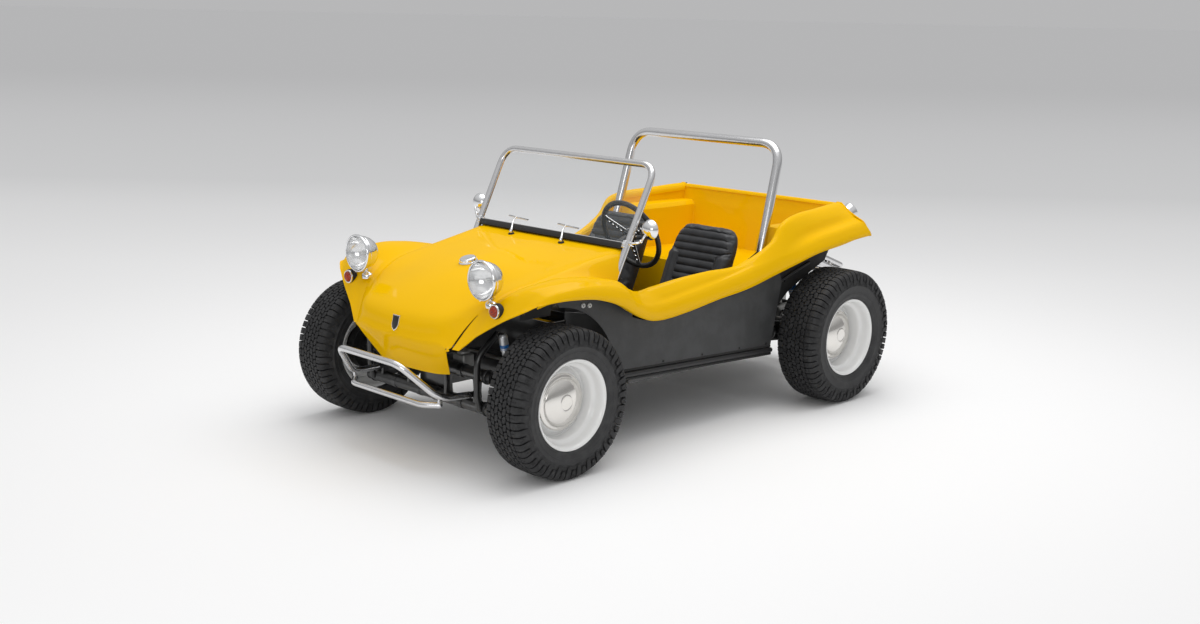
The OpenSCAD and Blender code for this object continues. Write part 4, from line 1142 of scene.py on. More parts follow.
def tread_pitch(w, pitch):
    """One pitch of the tread, blocks and shoulder lugs of both sides."""
    depth = sizes().lug_depth
    parts = [blocks(block_outlines(w, pitch), w, depth)]
    wide, mid, slot = 0.207 * pitch, pitch / 2, 0.0006
    for side in (1, -1):
        start = 0.0 if side > 0 else 0.25 * pitch
        lugs = [
            ([0, 1, 2], start, [(-0.75 * wide, -slot), (-wide, -slot), (-wide, -slot)], depth, 0.0),
            ([0, 1, 2], start, [(slot, wide)] * 3, depth, 0.0),
            ([2, 3, 4, 5, 6, 7], start,
             [wide, wide, wide * 0.98, wide * 0.92, wide * 0.86, wide * 0.55], depth, 0.0),
            ([0, 1, 2, 3, 4, 5], start + mid,
             [wide * 0.8, wide, wide, wide * 0.95, wide * 0.84, wide * 0.6], depth * 0.9, 0.0),
            ([3, 4], start + mid,
             [(-wide * 0.62, -wide * 0.34), (-wide * 0.52, -wide * 0.24)], 0.001, 0.0016),
            ([3, 4], start + mid,
             [(wide * 0.12, wide * 0.42), (wide * 0.06, wide * 0.34)], 0.001, 0.0016)]
        parts += [lug(w, stations, middle, halves, deep, side, lift)
                  for stations, middle, halves, deep, lift in lugs]
        # Thin raised line that steps round the lug ends
        radius = w["radius"]
        steps = [(0.0, 0.076), (0.2, 0.076), (0.29, 0.064), (0.71, 0.064), (0.8, 0.076), (1.0, 0.076)]
        verts, faces = [], []
        for share, drop in steps:
            turn = (start + share * pitch) / radius
            for d, x in ((-0.0011, 0.991), (-0.0007, 1.001), (0.0007, 1.001), (0.0011, 0.991)):
                r = radius - drop + d
                verts.append((side * w["half"] * x, r * math.cos(turn), r * math.sin(turn)))
        for n in range(1, len(steps)):
            o = 4 * n
            faces += [[o - 4 + j, o + j, o + j + 1, o - 3 + j] for j in range(3)]
        parts.append((verts, faces))
    item = joined("tread", [piece_from("tread", verts, faces, "tyre_rubber", smooth=False)
                            for verts, faces in parts])
    for polygon in item.data.polygons:
        polygon.use_smooth = False
    return item


def tyre(name, w, count):
    r, h, f = w["radius"], w["half"], w["rim_half"]
    d = sizes().lug_depth
    pitch = 2 * math.pi * r / count
    tread = bevelled(tread_pitch(w, pitch), 0.0007, 1, 40)
    tread = repeated(tread, count, (2 * math.pi / count, 0, 0), "tyre_rubber", turning=True)
    side = [(BEAD + 0.0023, f - 0.020), (BEAD + 0.006, f - 0.009), (FLANGE + 0.0004, f - 0.0045),
        (FLANGE + 0.0035, f + 0.001), (FLANGE + 0.008, f + 0.0058), (FLANGE + 0.012, f + 0.0075),
        (FLANGE + 0.0135, f + 0.0068), (FLANGE + 0.022, h - 0.0048), (FLANGE + 0.034, h - 0.0026),
        (FLANGE + 0.0345, h - 0.0016), (FLANGE + 0.0365, h - 0.0014), (FLANGE + 0.037, h - 0.0022),
        (r - 0.083, h - 0.0008), (r - 0.0815, h + 0.0003), (r - 0.0795, h + 0.0003), (r - 0.078, h - 0.0012),
        (r - 0.060, h - 0.0050), (r - 0.044, h - 0.0115), (r - 0.030, h - 0.0195), (r - 0.0205, h - 0.030),
        (r - 0.0155, h - 0.044), (r - d - 0.0016, h * 0.5)]
    profile = side + [(r - d - 0.0006, 0)] + [(a, -b) for a, b in reversed(side)]
    profile += [(BEAD + 0.020, -f + 0.030), (r - 0.060, -h + 0.018), (r - 0.026, -h * 0.6),
                (r - 0.026, h * 0.6), (r - 0.060, h - 0.018), (BEAD + 0.020, f - 0.030)]
    carcass = turned(name + "_carcass", profile, "sidewall_rubber", 144, close=True)
    shade(carcass, True, 40)
    made = joined(name, [carcass, tread])
    return moved(made, Matrix.Translation(w["place"]))


def rim(name, w):
    """Wide steel wheel: rolled flanges, drop centre and pressed disc."""
    f, back = w["face"], w["face"] - 2 * w["rim_half"]
    a = BEAD
    outer = [(FLANGE, f - 0.0045), (FLANGE + 0.0004, f - 0.001), (FLANGE - 0.001, f + 0.0006),
        (FLANGE - 0.004, f + 0.0008), (FLANGE - 0.008, f - 0.001), (a + 0.004, f - 0.007),
        (a - 0.0005, f - 0.014), (a - 0.003, f - 0.030), (a - 0.0055, f - 0.044), (a - 0.009, f - 0.0485),
        (a - 0.017, f - 0.0535), (a - 0.0225, f - 0.058), (a - 0.0242, f - 0.066),
        (a - 0.0247, 0.5 * (f + back)), (a - 0.0242, back + 0.066), (a - 0.0225, back + 0.058),
        (a - 0.009, back + 0.0485), (a - 0.0055, back + 0.044), (a - 0.0005, back + 0.014),
        (a + 0.004, back + 0.007), (FLANGE - 0.008, back + 0.001), (FLANGE - 0.001, back - 0.0006),
        (FLANGE, back + 0.0045)]
    tyre_side = [(FLANGE - 0.004, back + 0.005), (a + 0.0015, back + 0.016), (a - 0.0005, back + 0.048),
                 (a - 0.0185, back + 0.064), (a - 0.0185, f - 0.064), (a - 0.0005, f - 0.048),
                 (a + 0.0015, f - 0.016), (FLANGE - 0.004, f - 0.005)]
    barrel = turned(name + "_barrel", outer + tyre_side, "wheel_enamel", 128, close=True)
    d = w["disc"]
    front = [(0.036, d), (0.090, d), (0.101, d + 0.002), (0.112, d + 0.0075), (0.119, d + 0.0112),
        (0.1245, d + 0.0122), (0.1325, d + 0.0115), (0.1375, d + 0.0070), (0.1425, d - 0.002),
        (0.150, d - 0.0105), (0.158, d - 0.0155), (0.1605, d - 0.0162), (0.1625, d - 0.0145),
        (0.1655, d - 0.0135)]
    rear = [(r, x - 0.0055) for r, x in reversed(front)]
    disc = turned(name + "_disc", front + rear, "wheel_enamel", 128, close=True)
    for made in (barrel, disc):
        shade(made, True, 50)
    stem = turned(name + "_stem", [(0, 0.034), (0.0032, 0.0335), (0.0042, 0.032), (0.0042, 0.020),
        (0.0036, 0.019), (0.0045, 0.012), (0.0062, 0.004), (0.0085, 0.0), (0.0, 0.0)], "gasket_rubber", 20)
    moved(stem, Matrix.Rotation(math.radians(118), 4, "X") @ aimed((d - 0.011, 0, 0.1535), (1, 0, 0.25)))
    made = joined(name, [barrel, disc, stem])
    return moved(made, Matrix.Translation(w["place"]))


def hubcap(name, w):
    """Domed cap with a stepped edge and a plain centre disc."""
    face = [(0.1300, -0.0005), (0.1308, 0.0012), (0.1300, 0.0040), (0.1268, 0.0062), (0.1215, 0.0076),
            (0.1160, 0.0084), (0.1125, 0.0098), (0.1105, 0.0126), (0.1090, 0.0158), (0.1060, 0.0188),
            (0.0980, 0.0236), (0.0860, 0.0288), (0.0700, 0.0340), (0.0540, 0.0378), (0.0420, 0.0399),
            (0.0375, 0.0405), (0.0360, 0.0412), (0.0348, 0.0421), (0.0332, 0.0423), (0.0316, 0.0416),
            (0.0300, 0.0409), (0.0200, 0.0415), (0.0100, 0.0418), (0.0, 0.0419)]
    back = [(0.0, 0.0398), (0.0300, 0.0389), (0.0540, 0.0356), (0.0860, 0.0266), (0.1040, 0.0178),
            (0.1090, 0.0090), (0.1130, 0.0074), (0.1240, 0.0052), (0.1285, 0.0018)]
    made = turned(name, face + back, "cap_steel", 128, close=True)
    shade(made, True, 50)
    place = w["place"] + Vector((w["disc"] + 0.0123, 0, 0))
    return moved(made, Matrix.Translation(place))


class BUGGY_OT_wheels(bpy.types.Operator):
    """Four wheels: lugged tyre, enamelled steel rim and domed cap"""
    bl_idname = "buggy.wheels"
    bl_label = "Wheels"

    def execute(self, context):
        for end, w in WHEELS.items():
            count = sizes().front_pitches if end == "front" else sizes().rear_pitches
            left = {"tyre": tyre(end + "_left_tyre_skin", w, count), "rim": rim(end + "_left_rim_skin", w),
                    "hubcap": hubcap(end + "_left_hubcap_skin", w)}
            slots = {"tyre": "tyre", "rim": "white_steel", "hubcap": "chrome_trim"}
            for kind, made in left.items():
                other = mirrored(made, "%s_right_%s_skin" % (end, kind))
                for side, each in (("left", made), ("right", other)):
                    shown(each, "%s_%s_wheel" % (end, side), slots[kind], "%s_%s_%s" % (end, side, kind))
        return {"FINISHED"}


# ---------- Lamps, windshield and bright trim ----------

def pipe(name, points, radius, finish, reach=0.04, steps=8, around=22):
    """A bent tube: points in the part's own lines, the rest in metres."""
    path = [np.array(at(*p)) for p in points]
    if len(path) > 2:
        path = bent(path, reach, steps)
    return tube_on(name, path, radius, finish, around)


def lathe_at(name, profile, finish, centre, direction, around=72, close=False):
    """A turned piece set at a centre, with its axis along a direction."""
    return moved(turned(name, profile, finish, around, close=close), aimed(centre, direction))


def ball(name, centre, radius, finish):
    arc = [(radius * math.sin(math.radians(a)), -radius * math.cos(math.radians(a)))
        for a in range(0, 181, 15)]
    return lathe_at(name, arc, finish, centre, ACROSS, 24)


class BUGGY_OT_lamps(bpy.types.Operator):
    """Headlights on short stalks, round front signals and long tail lights"""
    bl_idname = "buggy.lamps"
    bl_label = "Lamps"

    def execute(self, context):
        self.headlights()
        self.signals()
        return {"FINISHED"}

    def headlights(self):
        centre, ahead = at(464, -1245, 878), (0, -1, 0)
        bowl = [(0, -0.107), (0.016, -0.1063), (0.032, -0.1022), (0.048, -0.0945), (0.062, -0.0820),
                (0.0735, -0.0640), (0.0812, -0.0440), (0.0850, -0.0275), (0.0843, -0.0265), (0.0843, -0.0240),
                (0.0862, -0.0230), (0.0878, -0.0130), (0.0900, -0.0122), (0.0924, -0.0100), (0.0930, -0.0060),
                (0.0922, -0.0010), (0.0898, 0.0024), (0.0866, 0.0034), (0.0840, 0.0022), (0.0830, -0.0010),
                (0.0826, -0.0060), (0.0780, -0.0300), (0.0640, -0.0600), (0.0400, -0.0860), (0.0, -0.0950)]
        shell = lathe_at("bowl", bowl, "bright_chrome", centre, ahead, 96)
        shade(shell, True, 40)
        collar = [(0, -0.0190), (0.0262, -0.0185), (0.0268, -0.0010), (0.0240, 0.0040), (0.0165, 0.0080),
            (0.0132, 0.0125), (0.0130, 0.0170), (0.0160, 0.0205), (0.0195, 0.0235), (0.0185, 0.0330),
            (0, 0.0370)]
        stalk = lathe_at("stalk", collar, "bright_chrome", at(464, -1185, 769), UP, 48)
        mirror = [(0.0822, -0.0015), (0.0790, -0.0150), (0.0715, -0.0330), (0.0590, -0.0500),
            (0.0420, -0.0630), (0.0240, -0.0705), (0.0100, -0.0735), (0.0, -0.0740)]
        dish = lathe_at("dish", mirror, "lamp_mirror", centre, ahead, 72)
        bulb = lathe_at("bulb", [(0, -0.026), (0.006, -0.028), (0.010, -0.034), (0.0112, -0.042),
            (0.009, -0.052), (0.0085, -0.062), (0.0095, -0.063), (0.0095, -0.074), (0, -0.0745)], "pale_mark",
            centre, ahead, 24)
        screw = bolt("rim_screw", at(464, -1245 - 3.5, 878 - 88), (0, -1, 0), 0.0035, "bright_chrome")
        lamp = joined("left_headlight", [shell, stalk, dish, bulb, screw])
        glass = [(0.0, 0.0165), (0.018, 0.0160), (0.036, 0.0143), (0.053, 0.0112), (0.068, 0.0070),
            (0.078, 0.0030), (0.0833, 0.0002), (0.0833, -0.0024), (0.077, 0.0006), (0.066, 0.0046),
            (0.052, 0.0086), (0.035, 0.0117), (0.018, 0.0134), (0.0, 0.0139)]
        lens = lathe_at("left_headlight_lens", glass, "lamp_glass", centre, ahead, 72)
        for made in (lamp, mirrored(lamp, "right_headlight")):
            shown(made, "chassis", "chrome_trim", "headlights")
        for made in (lens, mirrored(lens, "right_headlight_lens")):
            shown(made, "chassis", "lens_glass", "headlight_lenses")

    def signals(self):
        centre, ahead = at(546, -1230.5, 752), (0, -1, 0)
        base = [(0, -0.022), (0.0345, -0.022), (0.0352, 0.0015), (0.0340, 0.0040), (0.0318, 0.0048),
            (0.0, 0.0048)]
        gasket = lathe_at("gasket", base, "gasket_rubber", centre, ahead, 48)
        ring = [(0.0316, 0.0030), (0.0328, 0.0042), (0.0330, 0.0080), (0.0316, 0.0112), (0.0290, 0.0124),
                (0.0266, 0.0116), (0.0258, 0.0096), (0.0256, 0.0050)]
        bezel = lathe_at("bezel", ring, "bright_chrome", centre, ahead, 48, close=True)
        dome = [(0.0, 0.0262), (0.006, 0.0258), (0.0066, 0.0246), (0.0125, 0.0236), (0.0132, 0.0222),
            (0.0185, 0.0204), (0.0192, 0.0188), (0.0232, 0.0160), (0.0254, 0.0118), (0.0259, 0.0072),
            (0.0, 0.0072)]
        lens = lathe_at("amber", dome, "amber_lens", centre, ahead, 48)
        front = joined("left_front_signal", [gasket, bezel, lens])
        shade(front, True, 40)
        rear = at(606, 1302, 978)
        shell = [(0, -0.060), (0.014, -0.058), (0.028, -0.046), (0.038, -0.028), (0.0452, -0.006),
            (0.0488, 0.014), (0.0492, 0.024), (0.0478, 0.0295), (0.0450, 0.0315), (0.0424, 0.0300),
            (0.0416, 0.0240), (0.0, 0.0220)]
        red = [(0.0, 0.0452), (0.010, 0.0446), (0.0106, 0.0434), (0.0200, 0.0422), (0.0206, 0.0408),
            (0.0300, 0.0386), (0.0306, 0.0372), (0.0370, 0.0345), (0.0412, 0.0300), (0.0418, 0.0250),
            (0.0, 0.0250)]
        tail = [lathe_at("tail_shell", shell, "bright_chrome", (0, 0, 0), BACK, 64),
                lathe_at("tail_red", red, "red_lens", (0, 0, 0), BACK, 64)]
        tail = joined("left_tail_light", tail)
        shade(tail, True, 40)
        # Taller than wide, and leaning back at the top as the rear panel does
        moved(tail, Matrix.Translation(rear) @ Matrix.Rotation(math.radians(24), 4, "X")
              @ Matrix.Diagonal((0.86, 1.0, 1.12, 1.0)))
        for made in both(front) + both(tail):
            shown(made, "chassis", "signal_lens", "signal_lights")


SCREEN = {
    "lean": 26.5, "half": 545, "foot_z": 800, "top_z": 1332, "foot_y": -482, "rail_z": 958.6,
    "radius": 0.0168}


def on_screen(x, z):
    """A point on the windshield's leaning plane, in the part's lines."""
    return (x, SCREEN["foot_y"] + (z - SCREEN["foot_z"]) * math.tan(math.radians(SCREEN["lean"])), z)


class BUGGY_OT_windshield(bpy.types.Operator):
    """Windshield frame with its rail, two wipers and round mirrors"""
    bl_idname = "buggy.windshield"
    bl_label = "Windshield"

    def execute(self, context):
        s = SCREEN
        corners = [on_screen(s["half"] - 6, s["foot_z"]), on_screen(s["half"], s["top_z"]),
                   on_screen(-s["half"], s["top_z"]), on_screen(6 - s["half"], s["foot_z"])]
        hoop = pipe("windshield_hoop", corners, s["radius"], "polished_tube", 0.095, 10, 28)
        turn = Matrix.Translation(at(*on_screen(0, s["rail_z"]))) @ Matrix.Rotation(
            math.radians(-s["lean"]), 4, "X")
        wide = 0.522
        strips = [
            ("rail_front", (-0.0115, -0.0155), (-0.0035, 0.0115), "satin_black", 0.0025),
            ("rail_back", (0.0035, -0.0155), (0.0115, 0.0155), "satin_black", 0.0025),
            ("rail_foot", (-0.0110, -0.0165), (0.0110, -0.0015), "satin_black", 0.002),
            ("rail_seal", (-0.0135, -0.0190), (0.0150, -0.0150), "gasket_rubber", 0.0015),
            ("rail_strip", (-0.0128, 0.0100), (-0.0030, 0.0138), "bright_chrome", 0.001)]
        rail = joined("windshield_rail", [
            moved(box_of(name, (-wide, *low), (wide, *high), finish, bevel), turn)
            for name, low, high, finish, bevel in strips])
        clamps = []
        for side in (-1, 1):
            place = on_screen(side * (s["half"] - 3), s["rail_z"] + 4)
            clamps.append(box_of("clamp", (-0.011, -0.019, -0.019), (0.011, 0.019, 0.019), "bright_chrome",
                0.004, 3))
            moved(clamps[-1], Matrix.Translation(at(*place) - Vector((side * 0.010, 0, 0)))
                  @ Matrix.Rotation(math.radians(-s["lean"]), 4, "X"))
            clamps.append(bolt("clamp_bolt", at(*place)
                + Vector((side * 0.0005 - side * 0.012, -0.018, 0.008)), (0, -0.9, 0.45), 0.005,
                "bright_chrome"))
        frame_piece = joined("windshield_frame_skin", [hoop, *clamps])
        shown(frame_piece, "chassis", "polished_tube", "windshield_frame")
        shown(rail, "chassis", "satin_black", "windshield_frame")
        self.wipers()
        self.mirrors()
        return {"FINISHED"}

    def wipers(self):
        parts = []
        for x, seat in ((-215, 931.7), (155, 932.6)):
            foot = at(x, -468, seat)
            parts.append(lathe_at("grommet", [(0, -0.006), (0.0150, -0.006), (0.0155, 0.003),
                (0.0130, 0.0075), (0.0100, 0.0090), (0.0, 0.0090)], "gasket_rubber", foot, (0, -0.25, 1), 36))
            parts.append(lathe_at("nut", [(0, 0.006), (0.0088, 0.006), (0.0092, 0.012), (0.0082, 0.019),
                (0.0060, 0.024), (0.0, 0.0265)], "bright_chrome", foot, (0, -0.12, 1), 32))
            start, tip = Vector(at(x, -468, seat + 21)), Vector(at(x - 45, -393, 1010))
            middle = start.lerp(tip, 0.5) + Vector((0, -0.006, 0.008))
            path = curve_through([start, start.lerp(middle, 0.35), middle, tip], 6)
            radii = np.linspace(0.0062, 0.0026, len(path))
            parts.append(tube_on("arm", path, radii, "bright_chrome", 16))
            a, b = Vector(at(x - 108, -392, 1007)), Vector(at(x + 42, -394, 1000))
            parts.append(tube_on("blade", [a, a.lerp(b, 0.5) + Vector((0, -0.0015, 0.0015)), b],
                                 [0.0022, 0.0036, 0.0022], "bright_chrome", 12))
            drop = Vector((0, 0.005, 0.0025))
            parts.append(tube_on("blade_rubber", [a + drop, b + drop], 0.0030, "gasket_rubber", 8, flat=0.5))
            hold = a.lerp(b, 0.42)
            parts.append(box_of("blade_clip", tuple(hold - Vector((0.009, 0.005, 0.004))),
                                tuple(hold + Vector((0.009, 0.003, 0.005))), "bright_chrome", 0.0015))
        made = joined("wiper_pair", parts)
        shown(made, "chassis", "chrome_trim", "wipers")

    def mirrors(self):
        head = at(622, -352, 1040)
        cup = [(0, -0.012), (0.012, -0.0112), (0.024, -0.0080), (0.034, -0.0020), (0.0415, 0.0065),
            (0.0465, 0.0150), (0.0492, 0.0205), (0.0496, 0.0238), (0.0484, 0.0258), (0.0466, 0.0256),
            (0.0458, 0.0240)]
        parts = [lathe_at("cup", cup, "bright_chrome", head, BACK, 64),
            lathe_at("glass", [(0.0459, 0.0243), (0.044, 0.0240), (0, 0.0238)], "lamp_mirror", head, BACK,
            64)]
        foot = Vector(at(*on_screen(SCREEN["half"], SCREEN["rail_z"] + 12))) + Vector((0.0135, 0, 0))
        elbow, top = Vector(at(602, -372, 985)), head + Vector((0, -0.004, -0.016))
        path = curve_through([foot, foot.lerp(elbow, 0.55) + Vector((0, -0.003, -0.004)), elbow,
                              elbow.lerp(top, 0.6) + Vector((0.004, -0.006, 0)), top], 6)
        parts.append(tube_on("mirror_arm", path, np.linspace(0.0068, 0.0046, len(path)), "bright_chrome", 18))
        parts.append(ball("joint", elbow, 0.0095, "bright_chrome"))
        parts.append(lathe_at("foot", [(0, -0.004), (0.0115, -0.004), (0.0130, 0.0), (0.0120, 0.0065),
            (0.0085, 0.0095), (0, 0.0100)], "bright_chrome", foot, (1, 0, 0.1), 32))
        made = joined("left_mirror", parts)
        shade(made, True, 40)
        for each in both(made):
            shown(each, "chassis", "chrome_trim", "mirrors")


class BUGGY_OT_trim(bpy.types.Operator):
    """Fuel cap and plain shield on the hood"""
    bl_idname = "buggy.trim"
    bl_label = "Hood trim"

    def execute(self, context):
        turn = Matrix.Translation(at(0, -930, 868.5)) @ Matrix.Rotation(math.radians(15), 4, "X")
        cap = turned("cap", [(0, -0.004), (0.0450, -0.004), (0.0462, 0.0010), (0.0445, 0.0036),
            (0.0405, 0.0048), (0.0398, 0.0070), (0.0398, 0.0150), (0.0385, 0.0185), (0.0350, 0.0212),
            (0.0300, 0.0222), (0.0270, 0.0212), (0.0240, 0.0206), (0.0, 0.0222)], "bright_chrome", 72, "Z")
        grip = box_of("grip", (0.0375, -0.0016, 0.0080), (0.0412, 0.0016, 0.0165), "bright_chrome", 0.0008)
        moved(grip, Matrix.Rotation(math.radians(-90), 4, "Y"))
        grip = repeated(grip, 18, (math.radians(20), 0, 0), "bright_chrome", turning=True)
        moved(grip, Matrix.Rotation(math.radians(90), 4, "Y"))
        fuel = moved(joined("fuel_cap", [cap, grip]), turn)
        outline = [(-0.0260, 0.0390), (-0.0130, 0.0365), (0.0, 0.0385), (0.0130, 0.0365), (0.0260, 0.0390),
                   (0.0240, 0.0250), (0.0245, -0.0080), (0.0160, -0.0270), (0.0, -0.0380), (-0.0160, -0.0270),
                   (-0.0245, -0.0080), (-0.0240, 0.0250)]
        plate = slab("plate", outline, -0.004, 0.0042, "bright_chrome", 0.0012)
        face = slab("face", [(x * 0.86, z * 0.88 + 0.0004) for x, z in outline], 0.003, 0.0056, "satin_black",
            0.0010)
        shield = joined("blank_shield", [plate, face])
        moved(shield, Matrix.Translation(at(0, -1362, 628)) @ Matrix.Rotation(math.radians(76), 4, "X"))
        for made in (fuel, shield):
            shown(made, "chassis", "chrome_trim", "hood_trim")
        return {"FINISHED"}


ROLL = {"foot": (548, 581, 706.3), "top": (529, 766, 1383), "radius": 0.025}
BUMPER_FRONT_Y = -1536
BUMPER_REAR_Y = 1590


class BUGGY_OT_tubes(bpy.types.Operator):
    """Roll bar, front and rear bumper tubes and the plate bracket"""
    bl_idname = "buggy.tubes"
    bl_label = "Polished tubes"

    def execute(self, context):
        fx, fy, fz = ROLL["foot"]
        tx, ty, tz = ROLL["top"]
        hoop = pipe("hoop", [(fx, fy, fz + 6), (tx, ty, tz), (-tx, ty, tz), (-fx, fy, fz + 6)],
            ROLL["radius"], "polished_tube", 0.130, 12, 36)
        feet = []
        for side in (-1, 1):
            foot = at(side * fx, fy, fz)
            feet.append(lathe_at("flange", [(0, -0.001), (0.0375, -0.001), (0.0388, 0.001), (0.0388, 0.0055),
                (0.0375, 0.0072), (0.0275, 0.0082), (0.0262, 0.0130), (0.0, 0.0130)], "polished_tube", foot,
                UP, 48))
            for u, v in round_points(4, 0.0325, 45):
                feet.append(bolt("flange_bolt", foot + Vector((u, v, 0.0070)), UP, 0.0042))
        shown(joined("roll_bar_skin", [hoop, *feet]), "chassis", "polished_tube", "roll_bar")

        r = 0.016
        upper = [(350, -1212, 331), (330, -1372, 336), (226, BUMPER_FRONT_Y + 16, 498),
                 (-226, BUMPER_FRONT_Y + 16, 498), (-330, -1372, 336), (-350, -1212, 331)]
        lower = [(322, -1366, 303), (262, -1418, 302), (-262, -1418, 302), (-322, -1366, 303)]
        front = [pipe("upper", upper, r, "polished_tube", 0.055, 8),
            pipe("lower", lower, r - 0.002, "polished_tube", 0.03)]
        for side in (-1, 1):
            front.append(tube_on("arm", [at(side * 350, -1216, 331), at(side * 350, -1187, 331)], 0.0138,
                                 "chassis_enamel", 20))
            front.append(pipe("tie", [(side * 318, -1366, 302), (side * 324, -1366, 337)], 0.0085,
                "polished_tube"))
            front.append(bolt("tie_bolt", at(side * 336, -1367, 320), (side, 0, 0), 0.006))
            front.append(ball("end", at(side * 322, -1365, 303), 0.0146, "polished_tube"))
        shown(joined("front_bumper_skin", front), "chassis", "polished_tube", "front_bumper")

        high = [(400, 1215, 761.4), (400, BUMPER_REAR_Y - 34, 632), (340, BUMPER_REAR_Y - 16, 622),
                (-340, BUMPER_REAR_Y - 16, 622), (-400, BUMPER_REAR_Y - 34, 632), (-400, 1215, 761.4)]
        rear = [pipe("high", high, r, "polished_tube", 0.028, 6),
                pipe("low", [(x, y, z - 38) for x, y, z in high], r, "polished_tube", 0.028, 6)]
        for side in (-1, 1):
            for y in (1290, 1420):
                z = 762 - (y - 1214) * 0.38 - 19
                rear.append(drum_of("spacer", at(side * 400 - 9, y, z), ACROSS, 0.024, 0.018,
                    "polished_tube"))
                rear.append(bolt("spacer_bolt", at(side * 400 + side * 9, y, z), (side, 0, 0), 0.007))
        y = BUMPER_REAR_Y - 18
        bracket = slab("bracket", [(x * MM, z * MM) for x, z in (
            (-111, 586), (-111, 540), (-107, 536), (107, 536), (111, 540), (111, 586))],
            y_of(y), y_of(y + 4), "satin_black", 0.0008, "xzy")
        rear.append(bracket)
        for side in (-1, 1):
            rear.append(lathe_at("eyelet", [(0.0036, 0.0), (0.0065, 0.0), (0.0068, 0.0012), (0.0062, 0.0020),
                (0.0036, 0.0020)], "plated_steel", at(side * 89, y + 4, 548), BACK, 24, close=True))
            rear.append(lathe_at("hole", [(0.0036, 0.0004), (0, 0.0004)], "gasket_rubber",
                                 at(side * 89, y + 4, 548), BACK, 20))
        shown(joined("rear_bumper_skin", rear), "chassis", "polished_tube", "rear_bumper")
        return {"FINISHED"}


# ---------- Seats ----------

SEAT_X = 314
BACK_LEAN = 24.0
PLEATED_LENGTH = 0.53
PAD_VOXEL = 0.0075
PIPING_RADIUS = 0.0036
SWELL_PRESSURE = 4.0
SWELL_FRAMES = 20
SWELL_IN_PLANE = 0.3


def ease(value, low, high):
    """0 at low and 1 at high, smoothly, for arrays."""
    t = np.clip((value - low) / (high - low), 0, 1)
    return t * t * (3 - 2 * t)


def pad_shape(name, stations, finish):
    """A closed soft form: stations of (along, half width, half thickness, middle of the thickness)."""
    s = np.array(stations)
    fine = np.array(even_curve([tuple(r[:3]) for r in s], 6))
    middle = np.array(even_curve([(r[0], r[3], 0) for r in s], 6))[:, 1]
    around = 72
    a = np.linspace(0, 2 * math.pi, around, endpoint=False)
    c, d = np.cos(a), np.sin(a)
    ring = np.stack([np.sign(c) * np.abs(c) ** 0.55, np.sign(d) * np.abs(d) ** 0.62], 1)
    verts = [(u * hw, v, w * ht + m) for (v, hw, ht), m in zip(fine, middle) for u, w in ring]
    faces = ring_faces(len(fine), around) + end_faces(len(fine), around)
    return piece_from(name, verts, faces, finish)


def swollen(made, voxel, cap):
    made = modified(made, "REMESH", mode="VOXEL", voxel_size=voxel)
    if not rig.quick():
        scene = bpy.context.scene
        n = len(made.data.vertices)
        before = np.empty(n * 3)
        made.data.vertices.foreach_get("co", before)
        cloth = made.modifiers.new("swell", "CLOTH")
        cloth.settings.use_pressure = True
        cloth.settings.uniform_pressure_force = SWELL_PRESSURE
        cloth.settings.effector_weights.gravity = 0.0
        cloth.settings.tension_stiffness = cloth.settings.compression_stiffness = 12
        cloth.settings.quality = 5
        cloth.point_cache.frame_start, cloth.point_cache.frame_end = 1, SWELL_FRAMES
        for frame_number in range(1, SWELL_FRAMES + 1):
            scene.frame_set(frame_number)
        shaped = made.evaluated_get(bpy.context.evaluated_depsgraph_get())
        after = np.empty(n * 3)
        shaped.data.vertices.foreach_get("co", after)
        made.modifiers.clear()
        scene.frame_set(1)
        push = (after - before).reshape(-1, 3)
        push -= push.mean(axis=0)
        # The frame inside holds the outline, so the swell goes mostly into the thickness
        push[:, :2] *= SWELL_IN_PLANE
        size = np.linalg.norm(push, axis=1, keepdims=True)
        push *= np.minimum(1.0, cap / np.maximum(size, 1e-9))
        made.data.vertices.foreach_set("co", (before.reshape(-1, 3) + push).ravel())
        made.data.update()
    return modified(made, "SUBSURF", levels=1, render_levels=1)


def reshaped(made, change):
    """Moves the points by change(x, y, z) -> (x, y, z), all as arrays."""
    co = np.empty(len(made.data.vertices) * 3)
    made.data.vertices.foreach_get("co", co)
    x, y, z = co.reshape(-1, 3).T
    made.data.vertices.foreach_set("co", np.stack(change(x, y, z), 1).ravel())
    made.data.update()
    return made


def piped(made, middle, level):
    """Piping laid on the form's own edge at that level, open at its low end."""
    bpy.context.view_layer.update()
    path = []
    for a in np.radians(np.linspace(-52, 232, 120)):
        out = Vector((math.cos(a), math.sin(a), 0))
        hit, where, _, _ = made.ray_cast(Vector((0, middle, level)) + out, -out)
        if not hit:
            raise ValueError("No edge was found for the piping")
        path.append(np.array(where))
    for _ in range(3):
        path[1:-1] = [(a + 2 * b + c) / 4 for a, b, c in zip(path, path[1:], path[2:])]
    return tube_on("piping", path, PIPING_RADIUS, "seat_vinyl", 10)


def pleat(v, pitch, depth):
    """Height of sewn pleats at v: full between the seams, sharp at each one."""
    return depth * (np.sqrt(np.abs(np.sin(math.pi * v / pitch))) - 0.85)


